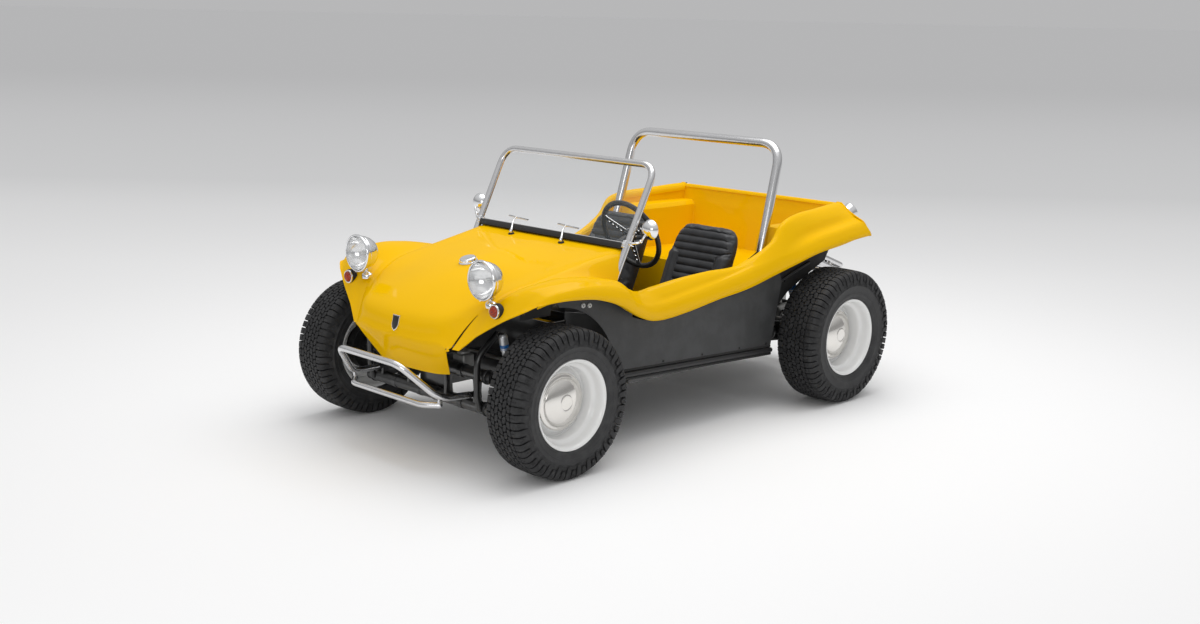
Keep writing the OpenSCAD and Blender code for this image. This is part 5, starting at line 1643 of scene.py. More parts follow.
def seat_back():
    stations = [(-0.034, 0.120, 0.012, 0.0), (-0.026, 0.185, 0.026, 0.0), (0.0, 0.206, 0.034, 0.0),
                (0.10, 0.213, 0.036, 0.0), (0.22, 0.215, 0.036, 0.002), (0.34, 0.215, 0.036, 0.003),
                (0.42, 0.210, 0.036, 0.004), (0.48, 0.199, 0.034, 0.005), (0.52, 0.180, 0.030, 0.006),
                (0.543, 0.150, 0.022, 0.007), (0.553, 0.095, 0.010, 0.008)]
    stations = [(v * 1.02, u * 1.025, w, m) for v, u, w, m in stations]
    made = swollen(pad_shape("back", stations, "seat_vinyl"), PAD_VOXEL, sizes().crown)
    pitch = PLEATED_LENGTH / sizes().pleats

    def sewn(u, v, w):
        face = ease(w, 0.004, 0.026)
        wide = np.abs(u)
        seam = 0.112 + 0.016 * ease(v, 0.05, 0.30) + 0.10 * ease(v, 0.375, 0.445)
        inside = 1 - ease(wide, seam - 0.008, seam)
        bolster = ease(wide, seam, seam + 0.030) * (1 - ease(v, 0.365, 0.44))
        edge = 1 - ease(wide, 0.170, 0.208) * ease(v, 0.38, 0.45)
        lift = 0.0090 * inside * (pleat(v + 0.012, pitch, 1.0)) * edge
        lift += bolster * 0.015 - 0.004 * (1 - ease(v, 0.34, 0.44)) * inside
        lift -= 0.0055 * np.exp(-((wide - seam) / 0.0045) ** 2) * (1 - ease(v, 0.42, 0.46))
        low = ease(v, -0.02, 0.03)
        return u, v, w + face * lift * low
    reshaped(made, sewn)
    return joined("seat_back", [made, piped(made, 0.27, -0.012)])


def seat_cushion():
    stations = [(-0.236, 0.120, 0.016, -0.006), (-0.228, 0.180, 0.036, -0.004),
        (-0.205, 0.200, 0.050, -0.002), (-0.12, 0.207, 0.056, 0.0), (0.0, 0.208, 0.057, 0.004),
        (0.10, 0.207, 0.057, 0.009), (0.165, 0.200, 0.052, 0.012), (0.192, 0.180, 0.038, 0.012),
        (0.202, 0.120, 0.018, 0.010)]
    made = swollen(pad_shape("cushion", stations, "seat_vinyl"), PAD_VOXEL, sizes().crown)
    pitch = PLEATED_LENGTH / sizes().pleats

    def sewn(u, v, w):
        face = ease(w, 0.010, 0.040)
        wide = np.abs(u)
        seam = 0.130
        inside = 1 - ease(wide, seam - 0.010, seam)
        lift = 0.0090 * inside * pleat(v, pitch, 1.0) * (1 - ease(v, 0.14, 0.17))
        lift += 0.013 * ease(wide, seam, seam + 0.030) - 0.006 * inside
        lift -= 0.0055 * np.exp(-((wide - seam) / 0.0045) ** 2)
        return u, v, w + face * lift
    reshaped(made, sewn)
    return joined("seat_cushion", [made, piped(made, -0.02, 0.014)])


class BUGGY_OT_seats(bpy.types.Operator):
    """Two high-backed seats with sewn pleats, their frames and runners"""
    bl_idname = "buggy.seats"
    bl_label = "Seats"

    def execute(self, context):
        back, cushion = seat_back(), seat_cushion()
        # Local: X across, Y along the pad, Z out of its face
        back_turn = Matrix.Rotation(math.radians(90 - BACK_LEAN), 4, "X")
        moved(back, Matrix.Translation(at(SEAT_X, 256, 440)) @ back_turn)
        cushion_turn = Matrix.Rotation(math.radians(180), 4, "Z") @ Matrix.Rotation(math.radians(3.5), 4, "X")
        moved(cushion, Matrix.Translation(at(SEAT_X, 22, 466)) @ cushion_turn)
        for n, (side, node) in enumerate(((1, "driver_seat"), (-1, "passenger_seat"))):
            for source, fill in ((back, 0.75), (cushion, 0.8)):
                if side > 0:
                    made = source
                else:
                    made = bpy.data.objects.new(source.name + "_passenger", source.data.copy())
                    context.scene.collection.objects.link(made)
                    moved(made, Matrix.Translation((-2 * SEAT_X * MM, 0, 0)))
                made.name = "%s_%s" % (node, "back" if source is back else "cushion")
                shown(made, "chassis", "vinyl", node)
                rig.padded(made, fill=fill)
            shown(self.seat_frame(side * SEAT_X, node + "_frame"), "chassis", "satin_black", node)
        return {"FINISHED"}

    def seat_frame(self, x, name):
        parts = []
        for side in (-1, 1):
            place = x + side * 150
            parts.append(block("runner", (place - 15, -150, 324.6), (place + 15, 210, 338),
                                "satin_black", 0.002))
            parts.append(block("slide", (place - 9, -165, 338), (place + 9, 215, 352),
                                "plated_steel", 0.002))
            parts.append(pipe("leg", [(place, -140, 350), (place, -140, 414), (place, 190, 404),
                (place, 190, 350)], 0.0105, "satin_black", 0.03))
            parts.append(pipe("upright", [(x + side * 196, 130, 420), (x + side * 196, 262, 424),
                                          (x + side * 196, 330, 600)], 0.0105, "satin_black", 0.04))
            parts.append(bolt("hinge", at(x + side * 207, 250, 428), (side, 0, 0), 0.010))
        parts.append(pipe("cross", [(x - 196, 130, 420), (x + 196, 130, 420)], 0.0105, "satin_black"))
        parts.append(pipe("lever", [(x - 60, -168, 345), (x - 60, -196, 350), (x + 60, -196, 350),
                                    (x + 60, -168, 345)], 0.005, "bright_chrome", 0.012))
        return joined(name, parts)


# ---------- Cockpit ----------

TUNNEL_TOP = 423.3
COLUMN = Matrix.Translation(at(306, -131, 960)) @ Matrix.Rotation(math.radians(-66), 4, "X")


def drilled(plate, cutters):
    """plate with every cutter taken out of it."""
    for cutter in cutters:
        plate = modified(plate, "BOOLEAN", operation="DIFFERENCE", object=cutter, solver="EXACT")
        bpy.data.objects.remove(cutter)
    return plate


class BUGGY_OT_cockpit(bpy.types.Operator):
    """Steering wheel, instrument panel, levers, pedals and mats"""
    bl_idname = "buggy.cockpit"
    bl_label = "Cockpit"

    def execute(self, context):
        self.steering_wheel()
        self.dashboard()
        self.controls()
        return {"FINISHED"}

    def steering_wheel(self):
        r = 0.180
        angles = np.linspace(0, 2 * math.pi, 96, endpoint=False)
        ring = [np.array((r * math.cos(a), r * math.sin(a), 0)) for a in angles]
        grip = tube_on("grip", ring, 0.0132, "wheel_wrap", 20, closed=True)
        stitch = box_of("stitch", (-0.0012, -0.0142, 0.1640), (0.0012, -0.0100, 0.1675), "wheel_wrap", 0.0006)
        stitch = repeated(stitch, 72, (math.radians(5), 0, 0), "wheel_wrap", turning=True)
        moved(stitch, Matrix.Rotation(math.radians(90), 4, "Y"))
        parts = [grip, stitch]
        for k in (90, 210, 330):
            outline = [(0.022, -0.019), (0.155, -0.013), (0.168, -0.018), (0.168, 0.018), (0.155, 0.013),
                       (0.022, 0.019)]
            plate = slab("spoke", outline, -0.0072, -0.0042, "bright_chrome")
            holes = [drum_of("hole", (x, 0, -0.02), UP, h, 0.04, "bright_chrome", 24)
                     for x, h in ((0.058, 0.0095), (0.086, 0.0088), (0.112, 0.0080), (0.136, 0.0072))]
            plate = bevelled(drilled(plate, holes), 0.0006, 1, 50)
            parts.append(moved(plate, Matrix.Rotation(math.radians(k), 4, "Z")))
        hub = [(0.0, -0.080), (0.009, -0.080), (0.009, -0.032), (0.0300, -0.0300), (0.0330, -0.0200),
            (0.0345, -0.0085), (0.0345, -0.0030), (0.0330, -0.0010)]
        cap = [(0.0330, -0.0020), (0.0320, 0.0030), (0.0280, 0.0055), (0.0255, 0.0050), (0.0245, 0.0075),
               (0.0180, 0.0120), (0.0090, 0.0142), (0.0, 0.0148)]
        parts.append(turned("hub", hub, "satin_black", 48, "Z"))
        parts.append(turned("horn", cap, "satin_black", 48, "Z"))
        parts.append(turned("horn_ring", [(0.0335, -0.0035), (0.0352, -0.0030), (0.0352, 0.0012),
            (0.0335, 0.0026), (0.0318, 0.0032)], "bright_chrome", 48, "Z"))
        for u, v in round_points(6, 0.0262, 30):
            parts.append(bolt("hub_bolt", (u, v, -0.0035), UP, 0.0028, "bright_chrome"))
        made = moved(joined("steering_wheel_skin", parts), COLUMN)
        shown(made, "hand_wheel", "wheel_grip", "steering_wheel")

    def dashboard(self):
        panel = block("panel", (-510, -416, 790), (510, -404, 929), "satin_black", 0.004, 3)
        lip = block("lip", (-508, -410, 790), (508, -392, 797), "satin_black", 0.003, 3)
        parts = [panel, lip]
        parts.append(lathe_at("collar", [(0.0205, -0.004), (0.0300, -0.004), (0.0310, 0.002), (0.0270, 0.007),
                                         (0.0215, 0.008), (0.0205, 0.006)], "satin_black",
                              COLUMN @ Vector((0, 0, -0.287)), (0, 0.9135, 0.4067), 40, close=True))
        for x in (-70, 60, 190):
            centre = at(x, -404, 866)
            parts.append(lathe_at("bezel", [(0.0360, 0.0068), (0.0375, 0.0092), (0.0400, 0.0098),
                (0.0420, 0.0080), (0.0424, 0.0030), (0.0424, -0.0005), (0.0355, -0.0005)], "bright_chrome",
                centre, BACK, 56, close=True))
            parts.append(lathe_at("face", [(0.0370, 0.0042), (0, 0.0042)], "gauge_face", centre, BACK, 48))
            tick = box_of("tick", (0.0043, -0.0006, 0.0270), (0.0050, 0.0006, 0.0335), "pale_mark")
            tick = repeated(tick, 11, (math.radians(24), 0, 0), "pale_mark", turning=True)
            moved(tick, Matrix.Rotation(math.radians(-120), 4, "X"))
            parts.append(moved(tick, aimed(centre, BACK)))
            needle = slab("needle", [(-0.0012, -0.006), (0.0012, -0.006), (0.0005, 0.0290),
                (-0.0005, 0.0290)], 0.0056, 0.0064, "red_lens")
            moved(needle, Matrix.Rotation(math.radians(52), 4, "Z"))
            parts.append(moved(needle, Matrix.Translation(centre) @ Matrix.Rotation(math.radians(-90), 4,
                "X")))
            parts.append(lathe_at("pivot", [(0.0042, 0.0050), (0.0042, 0.0072), (0.0030, 0.0082),
                (0, 0.0084)], "satin_black", centre, BACK, 20))
        for n, x in enumerate((-400, -340, -280, -220, 380)):
            knob = [(0.0, 0.030), (0.0070, 0.0295), (0.0095, 0.0270), (0.0095, 0.0190), (0.0050, 0.0170),
                    (0.0040, 0.0040), (0.0090, 0.0030), (0.0095, 0.0), (0.0, -0.001)]
            parts.append(lathe_at("knob", knob, "bright_chrome" if n == 4 else "satin_black",
                at(x, -404, 850), BACK, 28))
        shown(joined("dashboard_skin", parts), "chassis", "satin_black", "dashboard")

    def controls(self):
        top = TUNNEL_TOP
        boot = [(0.034, 0.0), (0.0345, 0.004), (0.030, 0.0075), (0.031, 0.0115), (0.0245, 0.016),
            (0.0255, 0.020), (0.0185, 0.026), (0.0192, 0.030), (0.0125, 0.037), (0.0085, 0.041), (0.0, 0.042)]
        parts = [lathe_at("boot", boot, "gasket_rubber", at(0, -160, top), (0, 0.1, 1), 40),
            pipe("lever", [(0, -160, top + 20), (0, -134, top + 130), (0, -110, 684)], 0.0068,
            "bright_chrome", 0.04)]
        knob = [(0.0, 0.026), (0.010, 0.0245), (0.019, 0.0175), (0.0235, 0.006), (0.0232, -0.006),
            (0.018, -0.018), (0.011, -0.026), (0.0085, -0.031), (0.0, -0.031)]
        parts.append(lathe_at("knob", knob, "satin_black", at(0, -110, 700), (0, 0.12, 1), 36))
        parts.append(block("brake_box", (-10, 60, top), (10, 150, top + 26), "satin_black", 0.003))
        parts.append(pipe("brake", [(0, 100, top + 20), (0, 220, 500), (0, 268, 524)], 0.0085,
            "bright_chrome", 0.05))
        parts.append(pipe("brake_grip", [(0, 236, 507), (0, 300, 540)], 0.0115, "wheel_wrap"))
        parts.append(drum_of("button", at(0, 299, 539.5), (0, 0.88, 0.47), 0.0055, 0.010, "bright_chrome",
            20))
        for x in (190, 265, 340):
            parts.append(block("foot", (x - 12, -650, 324.6), (x + 12, -620, 335), "satin_black", 0.002))
            parts.append(pipe("arm", [(x, -638, 330), (x, -648, 400), (x, -655, 476)], 0.006, "satin_black",
                0.03))
            parts.append(block("plate", (x - 25, -660, 470), (x + 25, -656, 540), "satin_black", 0.0015))
            pad = block("pad", (x - 25, -656, 468), (x + 25, -651, 542), "gasket_rubber", 0.002)
            rib = block("rib", (x - 21, -652, 474), (x + 21, -649, 478), "gasket_rubber", 0.001)
            parts += [pad, repeated(rib, 6, (0, 0, 0.0118), "gasket_rubber")]
        shown(joined("floor_controls_skin", parts), "chassis", "chrome_trim", "floor_controls")
        mats = [slab("mat", [(side * 0.095, -0.640), (side * 0.560, -0.470), (side * 0.560, 0.520),
                             (side * 0.095, 0.520)], 0.3245, 0.3295, "ribbed_mat", 0.0015)
                for side in (-1, 1)]
        shown(joined("floor_mats", mats), "chassis", "satin_black")


class BUGGY_OT_panels(bpy.types.Operator):
    """Sill bars, grommets and inner fenders by the side panels"""
    bl_idname = "buggy.panels"
    bl_label = "Sills and grommets"

    def execute(self, context):
        parts = []
        front, rear = (-572, 349), (604, 301)
        # The thin tubes above and below the middle bar are near-black: painted shade that deepens the grooves beside
        # it.
        for lift, x, radius, finish in ((36, 640, 0.0060, "underside_black"),
                (17, 647, 0.0125, "satin_black"), (-3, 642, 0.0085, "underside_black")):
            a, b = at(x, front[0], front[1] + lift), at(x, rear[0], rear[1] + lift)
            parts.append(tube_on("sill", [a, b], radius, finish, 20))
        for y in (-520, -230, 60, 350, 570):
            z = front[1] + (y - front[0]) / (rear[0] - front[0]) * (rear[1] - front[1])
            parts.append(bolt("sill_bolt", at(641, y, z + 52), ACROSS, 0.0048, "satin_black"))
        for y, z in ((-785.5, 735.6), (-744.5, 730.7)):
            parts.append(lathe_at("grommet", [(0.0045, 0.0055), (0.0065, 0.0065), (0.0100, 0.0058),
                (0.0118, 0.0030), (0.0120, -0.001), (0.0040, -0.001)], "pale_mark", at(640, y, z), ACROSS, 32,
                close=True))
            parts.append(lathe_at("plug", [(0.0050, 0.0030), (0, 0.0030)], "gasket_rubber", at(640, y, z),
                ACROSS, 20))
        # Inner fender ahead of the side panel, above the tyre
        outline = [at(0, y, z)[1:] for y, z in ((-1168, 716), (-1168, 752), (-1130, 774), (-1050, 790),
            (-985, 796), (-985, 716))]
        parts.append(slab("inner_fender", outline, 0.634, 0.6385, "underside_black", 0.001, "yzx"))
        for y, z in ((-1150, 742), (-1105, 766), (-1050, 776)):
            parts.append(bolt("liner_bolt", at(638.5, y, z), ACROSS, 0.006, "satin_black"))
        # Black inner fender and bracket between the side panel and the rear tyre
        outline = [at(0, y, z)[1:] for y, z in (
            (598, 360), (640, 366), (664, 470), (716, 545), (800, 606), (900, 650), (1000, 694), (1110, 738),
            (1150, 800), (1150, 846), (1045, 834), (875, 811), (735, 768), (640, 736), (598, 722))]
        parts.append(slab("rear_inner_fender", outline, 0.594, 0.599, "underside_black", 0.001, "yzx"))
        parts.append(block("bracket", (599, 640, 520), (606, 668, 640), "satin_black", 0.002))
        parts.append(pipe("brace", [(602, 650, 640), (604, 780, 690), (604, 960, 742)], 0.009, "satin_black",
            0.03))
        for y, z in ((652, 540), (654, 580), (656, 620), (700, 640), (760, 664), (860, 700)):
            parts.append(bolt("liner_bolt", at(605 if y < 660 else 599, y, z), ACROSS, 0.007, "satin_black"))
        made = joined("left_sill", parts)
        for each in both(made):
            shown(each, "chassis", "satin_black")
        return {"FINISHED"}


# ---------- Front running gear ----------

BEAM_Y = -1166
FRONT_Y = -1016
BEAM_LOW, BEAM_HIGH = 270, 420


def rod_bar(name, start, end, radius, finish, around=24, ease=0.001):
    """A straight round bar between two points of the part's own lines."""
    a, b = at(*start), at(*end)
    return drum_of(name, a, b - a, radius, (b - a).length, finish, around, ease)


def web(name, stations, low, high, finish, bevel):
    """A plate whose outline wraps two round ends: stations are (y, z, radius)."""
    points = []
    for y, z, r in stations:
        a = np.linspace(0, 2 * math.pi, 28, endpoint=False)
        p = at(0, y, z)
        points += [(p.y + r * math.cos(t), p.z + r * math.sin(t)) for t in a]
    points = np.array(points)
    # Outer hull, going round once
    order = sorted(map(tuple, points))
    lower, upper = [], []
    for chain, row in ((lower, order), (upper, order[::-1])):
        for p in row:
            while len(chain) > 1 and ((chain[-1][0] - chain[-2][0]) * (p[1] - chain[-2][1])
                                      - (chain[-1][1] - chain[-2][1]) * (p[0] - chain[-2][0])) <= 1e-12:
                chain.pop()
            chain.append(p)
    return slab(name, lower[:-1] + upper[:-1], low, high, finish, bevel, "yzx")


def shock(start, end, r, collars):
    """A telescopic shock's tube and its coloured bands."""
    a, b = at(*start), at(*end)
    run = b - a
    length = run.length
    tube = [(0, 0.002), (r * 0.62, 0.002), (r * 0.80, 0.006), (r * 0.80, length * 0.50),
        (r * 0.84, length * 0.505), (r * 0.84, length * 0.52), (r, length * 0.525), (r, length - 0.018),
        (r * 0.94, length - 0.012), (r * 0.66, length - 0.004), (0, length - 0.004)]
    parts = [moved(turned("tube", tube, "shock_silver", 36), aimed(a, run))]
    for low, high in collars:
        ring = [(r + 0.0002, low * length), (r + 0.0007, low * length + 0.001),
                (r + 0.0007, high * length - 0.001), (r + 0.0002, high * length)]
        parts.append(moved(turned("band", ring, "band_blue", 36), aimed(a, run)))
    return parts


class BUGGY_OT_front_gear(bpy.types.Operator):
    """Front beam, shock towers, trailing arms, shocks, knuckles and track rod"""
    bl_idname = "buggy.front_gear"
    bl_label = "Front running gear"

    def execute(self, context):
        self.beam()
        self.arms()
        self.shocks()
        self.knuckles()
        self.track_rod()
        return {"FINISHED"}

    def beam(self):
        parts = []
        for z in (BEAM_LOW, BEAM_HIGH):
            parts.append(lathe_at("tube", [(0, -0.430), (0.0295, -0.430), (0.031, -0.4285), (0.031, -0.404),
                (0.0298, -0.402), (0.0298, 0.402), (0.031, 0.404), (0.031, 0.4285), (0.0295, 0.430),
                (0, 0.430)], "chassis_enamel", at(0, BEAM_Y, z), ACROSS, 48))
            for x in (-250, -60, 60, 250):
                parts.append(lathe_at("clamp", [(0.0298, -0.016), (0.0322, -0.015), (0.0322, 0.015),
                    (0.0298, 0.016)], "chassis_enamel", at(x, BEAM_Y, z), ACROSS, 40))
        for x in (-360, -150, 130, 340):
            plate = slab("brace", [(y_of(BEAM_Y - 24), 0.262), (y_of(BEAM_Y + 24), 0.262),
                                   (y_of(BEAM_Y + 17), 0.345), (y_of(BEAM_Y + 24), 0.428),
                                   (y_of(BEAM_Y - 24), 0.428), (y_of(BEAM_Y - 17), 0.345)],
                         x * MM, (x + 20) * MM, "chassis_enamel", 0.003, "yzx")
            parts.append(plate)
        parts.append(block("head_plate", (-100, BEAM_Y + 20, BEAM_LOW), (100, BEAM_Y + 30.5, BEAM_HIGH),
                            "chassis_enamel", 0.002))
        for side in (-1, 1):
            tower = pipe("tower", [(side * 405, BEAM_Y - 30, 265), (side * 405, BEAM_Y - 48, 330),
                                   (side * 405, BEAM_Y - 50, 478), (side * 405, BEAM_Y - 30, 530),
                                   (side * 405, BEAM_Y + 70, 610)], 0.0150, "chassis_enamel", 0.024, 8, 28)
            parts.append(tower)
            parts.append(rod_bar("tower_pin", (side * 404, BEAM_Y + 66, 606), (side * 432, BEAM_Y + 66, 606),
                0.010, "plated_steel"))
            for z in (BEAM_LOW, BEAM_HIGH):
                parts.append(lathe_at("seal", [(0.0300, 0.0), (0.0340, 0.0015), (0.0345, 0.008),
                    (0.0310, 0.0105), (0.0300, 0.0105)], "gasket_rubber", at(side * 418, BEAM_Y, z),
                    (side, 0, 0), 36))
        # Steering box with its cover and bolts
        parts.append(block("steering_box", (153, BEAM_Y + 12, BEAM_HIGH - 8),
            (237, BEAM_Y + 78, BEAM_HIGH + 66), "cast_alloy", 0.010, 4))
        parts.append(drum_of("box_cover", at(195, BEAM_Y + 45, BEAM_HIGH + 60), UP, 0.030, 0.018,
                             "cast_alloy", 40, 0.003))
        for u, v in round_points(4, 24, 45):
            parts.append(bolt("box_bolt", at(195 + u, BEAM_Y + 45 + v, BEAM_HIGH + 78), UP, 0.0045))
        shown(joined("front_beam_skin", parts), "chassis", "chassis_black", "front_beam")

    def arms(self):
        parts = []
        for z in (BEAM_LOW, BEAM_HIGH):
            parts.append(web("arm", [(BEAM_Y, z, 0.0255), (FRONT_Y, z, 0.0195)], 0.4335, 0.4610,
                "chassis_enamel", 0.007))
            parts.append(lathe_at("arm_root", [(0, 0), (0.0265, 0), (0.0300, 0.0025), (0.0300, 0.0320),
                (0.0270, 0.0340), (0, 0.0340)], "chassis_enamel", at(430.3, BEAM_Y, z), ACROSS, 36))
            parts.append(rod_bar("link", (440, FRONT_Y, z), (560, FRONT_Y, z), 0.0180, "chassis_enamel", 28))
            parts.append(lathe_at("link_nut", [(0.012, 0), (0.0215, 0.0), (0.0235, 0.002), (0.0235, 0.010),
                (0.018, 0.0125)], "plated_steel", at(464, FRONT_Y, z), ACROSS, 6))
            parts.append(lathe_at("link_boot", [(0.0182, 0), (0.0225, 0.0015), (0.0205, 0.004),
                (0.0235, 0.0065), (0.0210, 0.009), (0.0225, 0.0115), (0.0182, 0.013)], "gasket_rubber",
                at(520, FRONT_Y, z), ACROSS, 32))
        boss = [(0.0115, 0.250), (0.0215, 0.250), (0.0240, 0.2525), (0.0240, 0.292), (0.0205, 0.300),
            (0.0205, 0.390), (0.0240, 0.398), (0.0240, 0.4375), (0.0215, 0.440), (0.0115, 0.440)]
        p = at(560, FRONT_Y, 0)
        boss_piece = turned("boss", boss, "chassis_enamel", 40, "Z", close=True)
        parts.append(moved(boss_piece, Matrix.Translation(p)))
        # Rear spring plate with its bolts and hub
        parts.append(web("spring_plate", [(664, 400, 0.055), (979, 361, 0.045)], 0.5716, 0.5826,
            "chassis_enamel", 0.002))
        for y in (900, 945):
            for z in (386, 342):
                parts.append(bolt("plate_bolt", at(582.4, y + 8, z), ACROSS, 0.0085))
        cover = [(0.0, 0.022), (0.020, 0.0215), (0.034, 0.018), (0.038, 0.012), (0.047, 0.0105),
            (0.050, 0.008), (0.050, 0.0), (0.0, 0.0)]
        parts.append(lathe_at("torsion_cover", cover, "chassis_enamel", at(582.6, 664, 400), ACROSS, 48))
        for u, v in round_points(4, 42, 45):
            parts.append(bolt("cover_bolt", at(592.0, 664 + u, 400 + v), ACROSS, 0.0055))
        left = joined("trailing_arms", parts)
        for each in both(left):
            shown(each, "chassis", "chassis_black", "suspension_arms")

    def shocks(self):
        parts = shock((456, -1076, 450.8), (446, -1100, 618), 0.0208, [(0.60, 0.69), (0.56, 0.575)])
        parts.append(rod_bar("eye", (428, -1099, 604), (450, -1099, 604), 0.0145, "gasket_rubber"))
        parts += shock((538, 1000, 415), (530, 900, 640), 0.0255, [(0.80, 0.93), (0.76, 0.775)])
        parts.append(rod_bar("pin", (538, 984, 400), (571, 984, 400), 0.009, "plated_steel"))
        parts.append(rod_bar("eye_low", (520, 992, 406), (556, 992, 406), 0.0200, "gasket_rubber"))
        parts.append(rod_bar("eye_high", (512, 902, 636), (548, 902, 636), 0.0180, "gasket_rubber"))
        left = joined("shocks", parts)
        for each in both(left):
            shown(each, "chassis", "shock_silver", "shock_absorbers")

    def knuckles(self):
        p = at(560, FRONT_Y, 0)
        low, high = 0.250, 0.440
        gap = 0.0003
        parts = []
        pin = [(0, low - gap - 0.024), (0.0095, low - gap - 0.024), (0.011, low - gap - 0.022),
            (0.011, high + gap + 0.022), (0.0095, high + gap + 0.024), (0, high + gap + 0.024)]
        parts.append(moved(turned("pin", pin, "plated_steel", 28, "Z"), Matrix.Translation(p)))
        for z in (low - gap - 0.024, high + gap):
            yoke = []
            for a in np.linspace(90, 270, 17):
                yoke.append((p.x + 0.024 * math.cos(math.radians(a)),
                    p.y + 0.024 * math.sin(math.radians(a))))
            yoke += [(p.x + 0.016, p.y - 0.016), (p.x + 0.044, p.y - 0.0140), (p.x + 0.044, p.y + 0.0140),
                     (p.x + 0.016, p.y + 0.016)]
            parts.append(slab("yoke", yoke, z, z + 0.024, "drum_iron", 0.003))
        parts.append(box_of("stem", (p.x + 0.027, p.y - 0.014, low - gap - 0.024),
            (p.x + 0.044, p.y + 0.014, high + gap + 0.024), "drum_iron", 0.005, 3))
        spindle = [(0, 0), (0.024, 0), (0.024, 0.002), (0.024, 0.009), (0.0148, 0.014), (0.0148, 0.020),
                   (0.0148, 0.026), (0.0148, 0.118), (0.0140, 0.120), (0, 0.120)]
        parts.append(lathe_at("spindle", spindle, "plated_steel", (p.x + 0.040, p.y, 0.345), ACROSS, 40))
        arm_z = 0.446
        arm = [(p.x + 0.041, p.y), (p.x + 0.041, p.y + 0.112), (p.x + 0.034, p.y + 0.114),
            (p.x - 0.010, p.y + 0.1165)]
        for a in np.linspace(75, 285, 15):
            arm.append((p.x - 0.016 + 0.017 * math.cos(math.radians(a)),
                p.y + 0.100 + 0.017 * math.sin(math.radians(a))))
        arm += [(p.x + 0.020, p.y + 0.086), (p.x + 0.027, p.y + 0.080), (p.x + 0.027, p.y)]
        parts.append(slab("steering_arm", arm, arm_z, arm_z + 0.0138, "drum_iron", 0.003))
        parts.append(bolt("eye_nut", (p.x - 0.016, p.y + 0.100, arm_z + 0.0138), UP, 0.0095))
        left = joined("left_knuckle_skin", parts)
        right = mirrored(left, "right_knuckle_skin")
        shown(left, "left_steering_knuckle", "forged_steel", "left_knuckle")
        shown(right, "right_steering_knuckle", "forged_steel", "right_knuckle")

    def track_rod(self):
        x, y, z = 544, FRONT_Y + 100, 430
        parts = [rod_bar("rod", (-x + 40, y, z), (x - 40, y, z), 0.0090, "plated_steel", 24)]
        for side in (-1, 1):
            parts.append(rod_bar("thread", (side * (x - 70), y, z), (side * (x - 22), y, z), 0.0078,
                "plated_steel"))
            parts.append(lathe_at("clamp", [(0.0090, 0), (0.0128, 0.001), (0.0128, 0.014), (0.0090, 0.015)],
                                  "plated_steel", at(side * (x - 62), y, z), (side, 0, 0), 6))
            parts.append(rod_bar("neck", (side * (x - 40), y, z), (side * (x - 8), y, z), 0.0100,
                "drum_iron"))
            end = [(0, -0.013), (0.0110, -0.013), (0.0150, -0.010), (0.0158, -0.002), (0.0158, 0.004),
                (0.0135, 0.007), (0.0145, 0.0085), (0.0115, 0.0110), (0.0120, 0.0125), (0.0085, 0.0150),
                (0, 0.0153)]
            made = turned("rod_end", end, "gasket_rubber", 32, "Z")
            parts.append(moved(made, Matrix.Translation(at(side * x, y, z))))
        shown(joined("track_rod_skin", parts), "track_rod", "forged_steel", "tie_rods")


# ---------- Rear running gear ----------

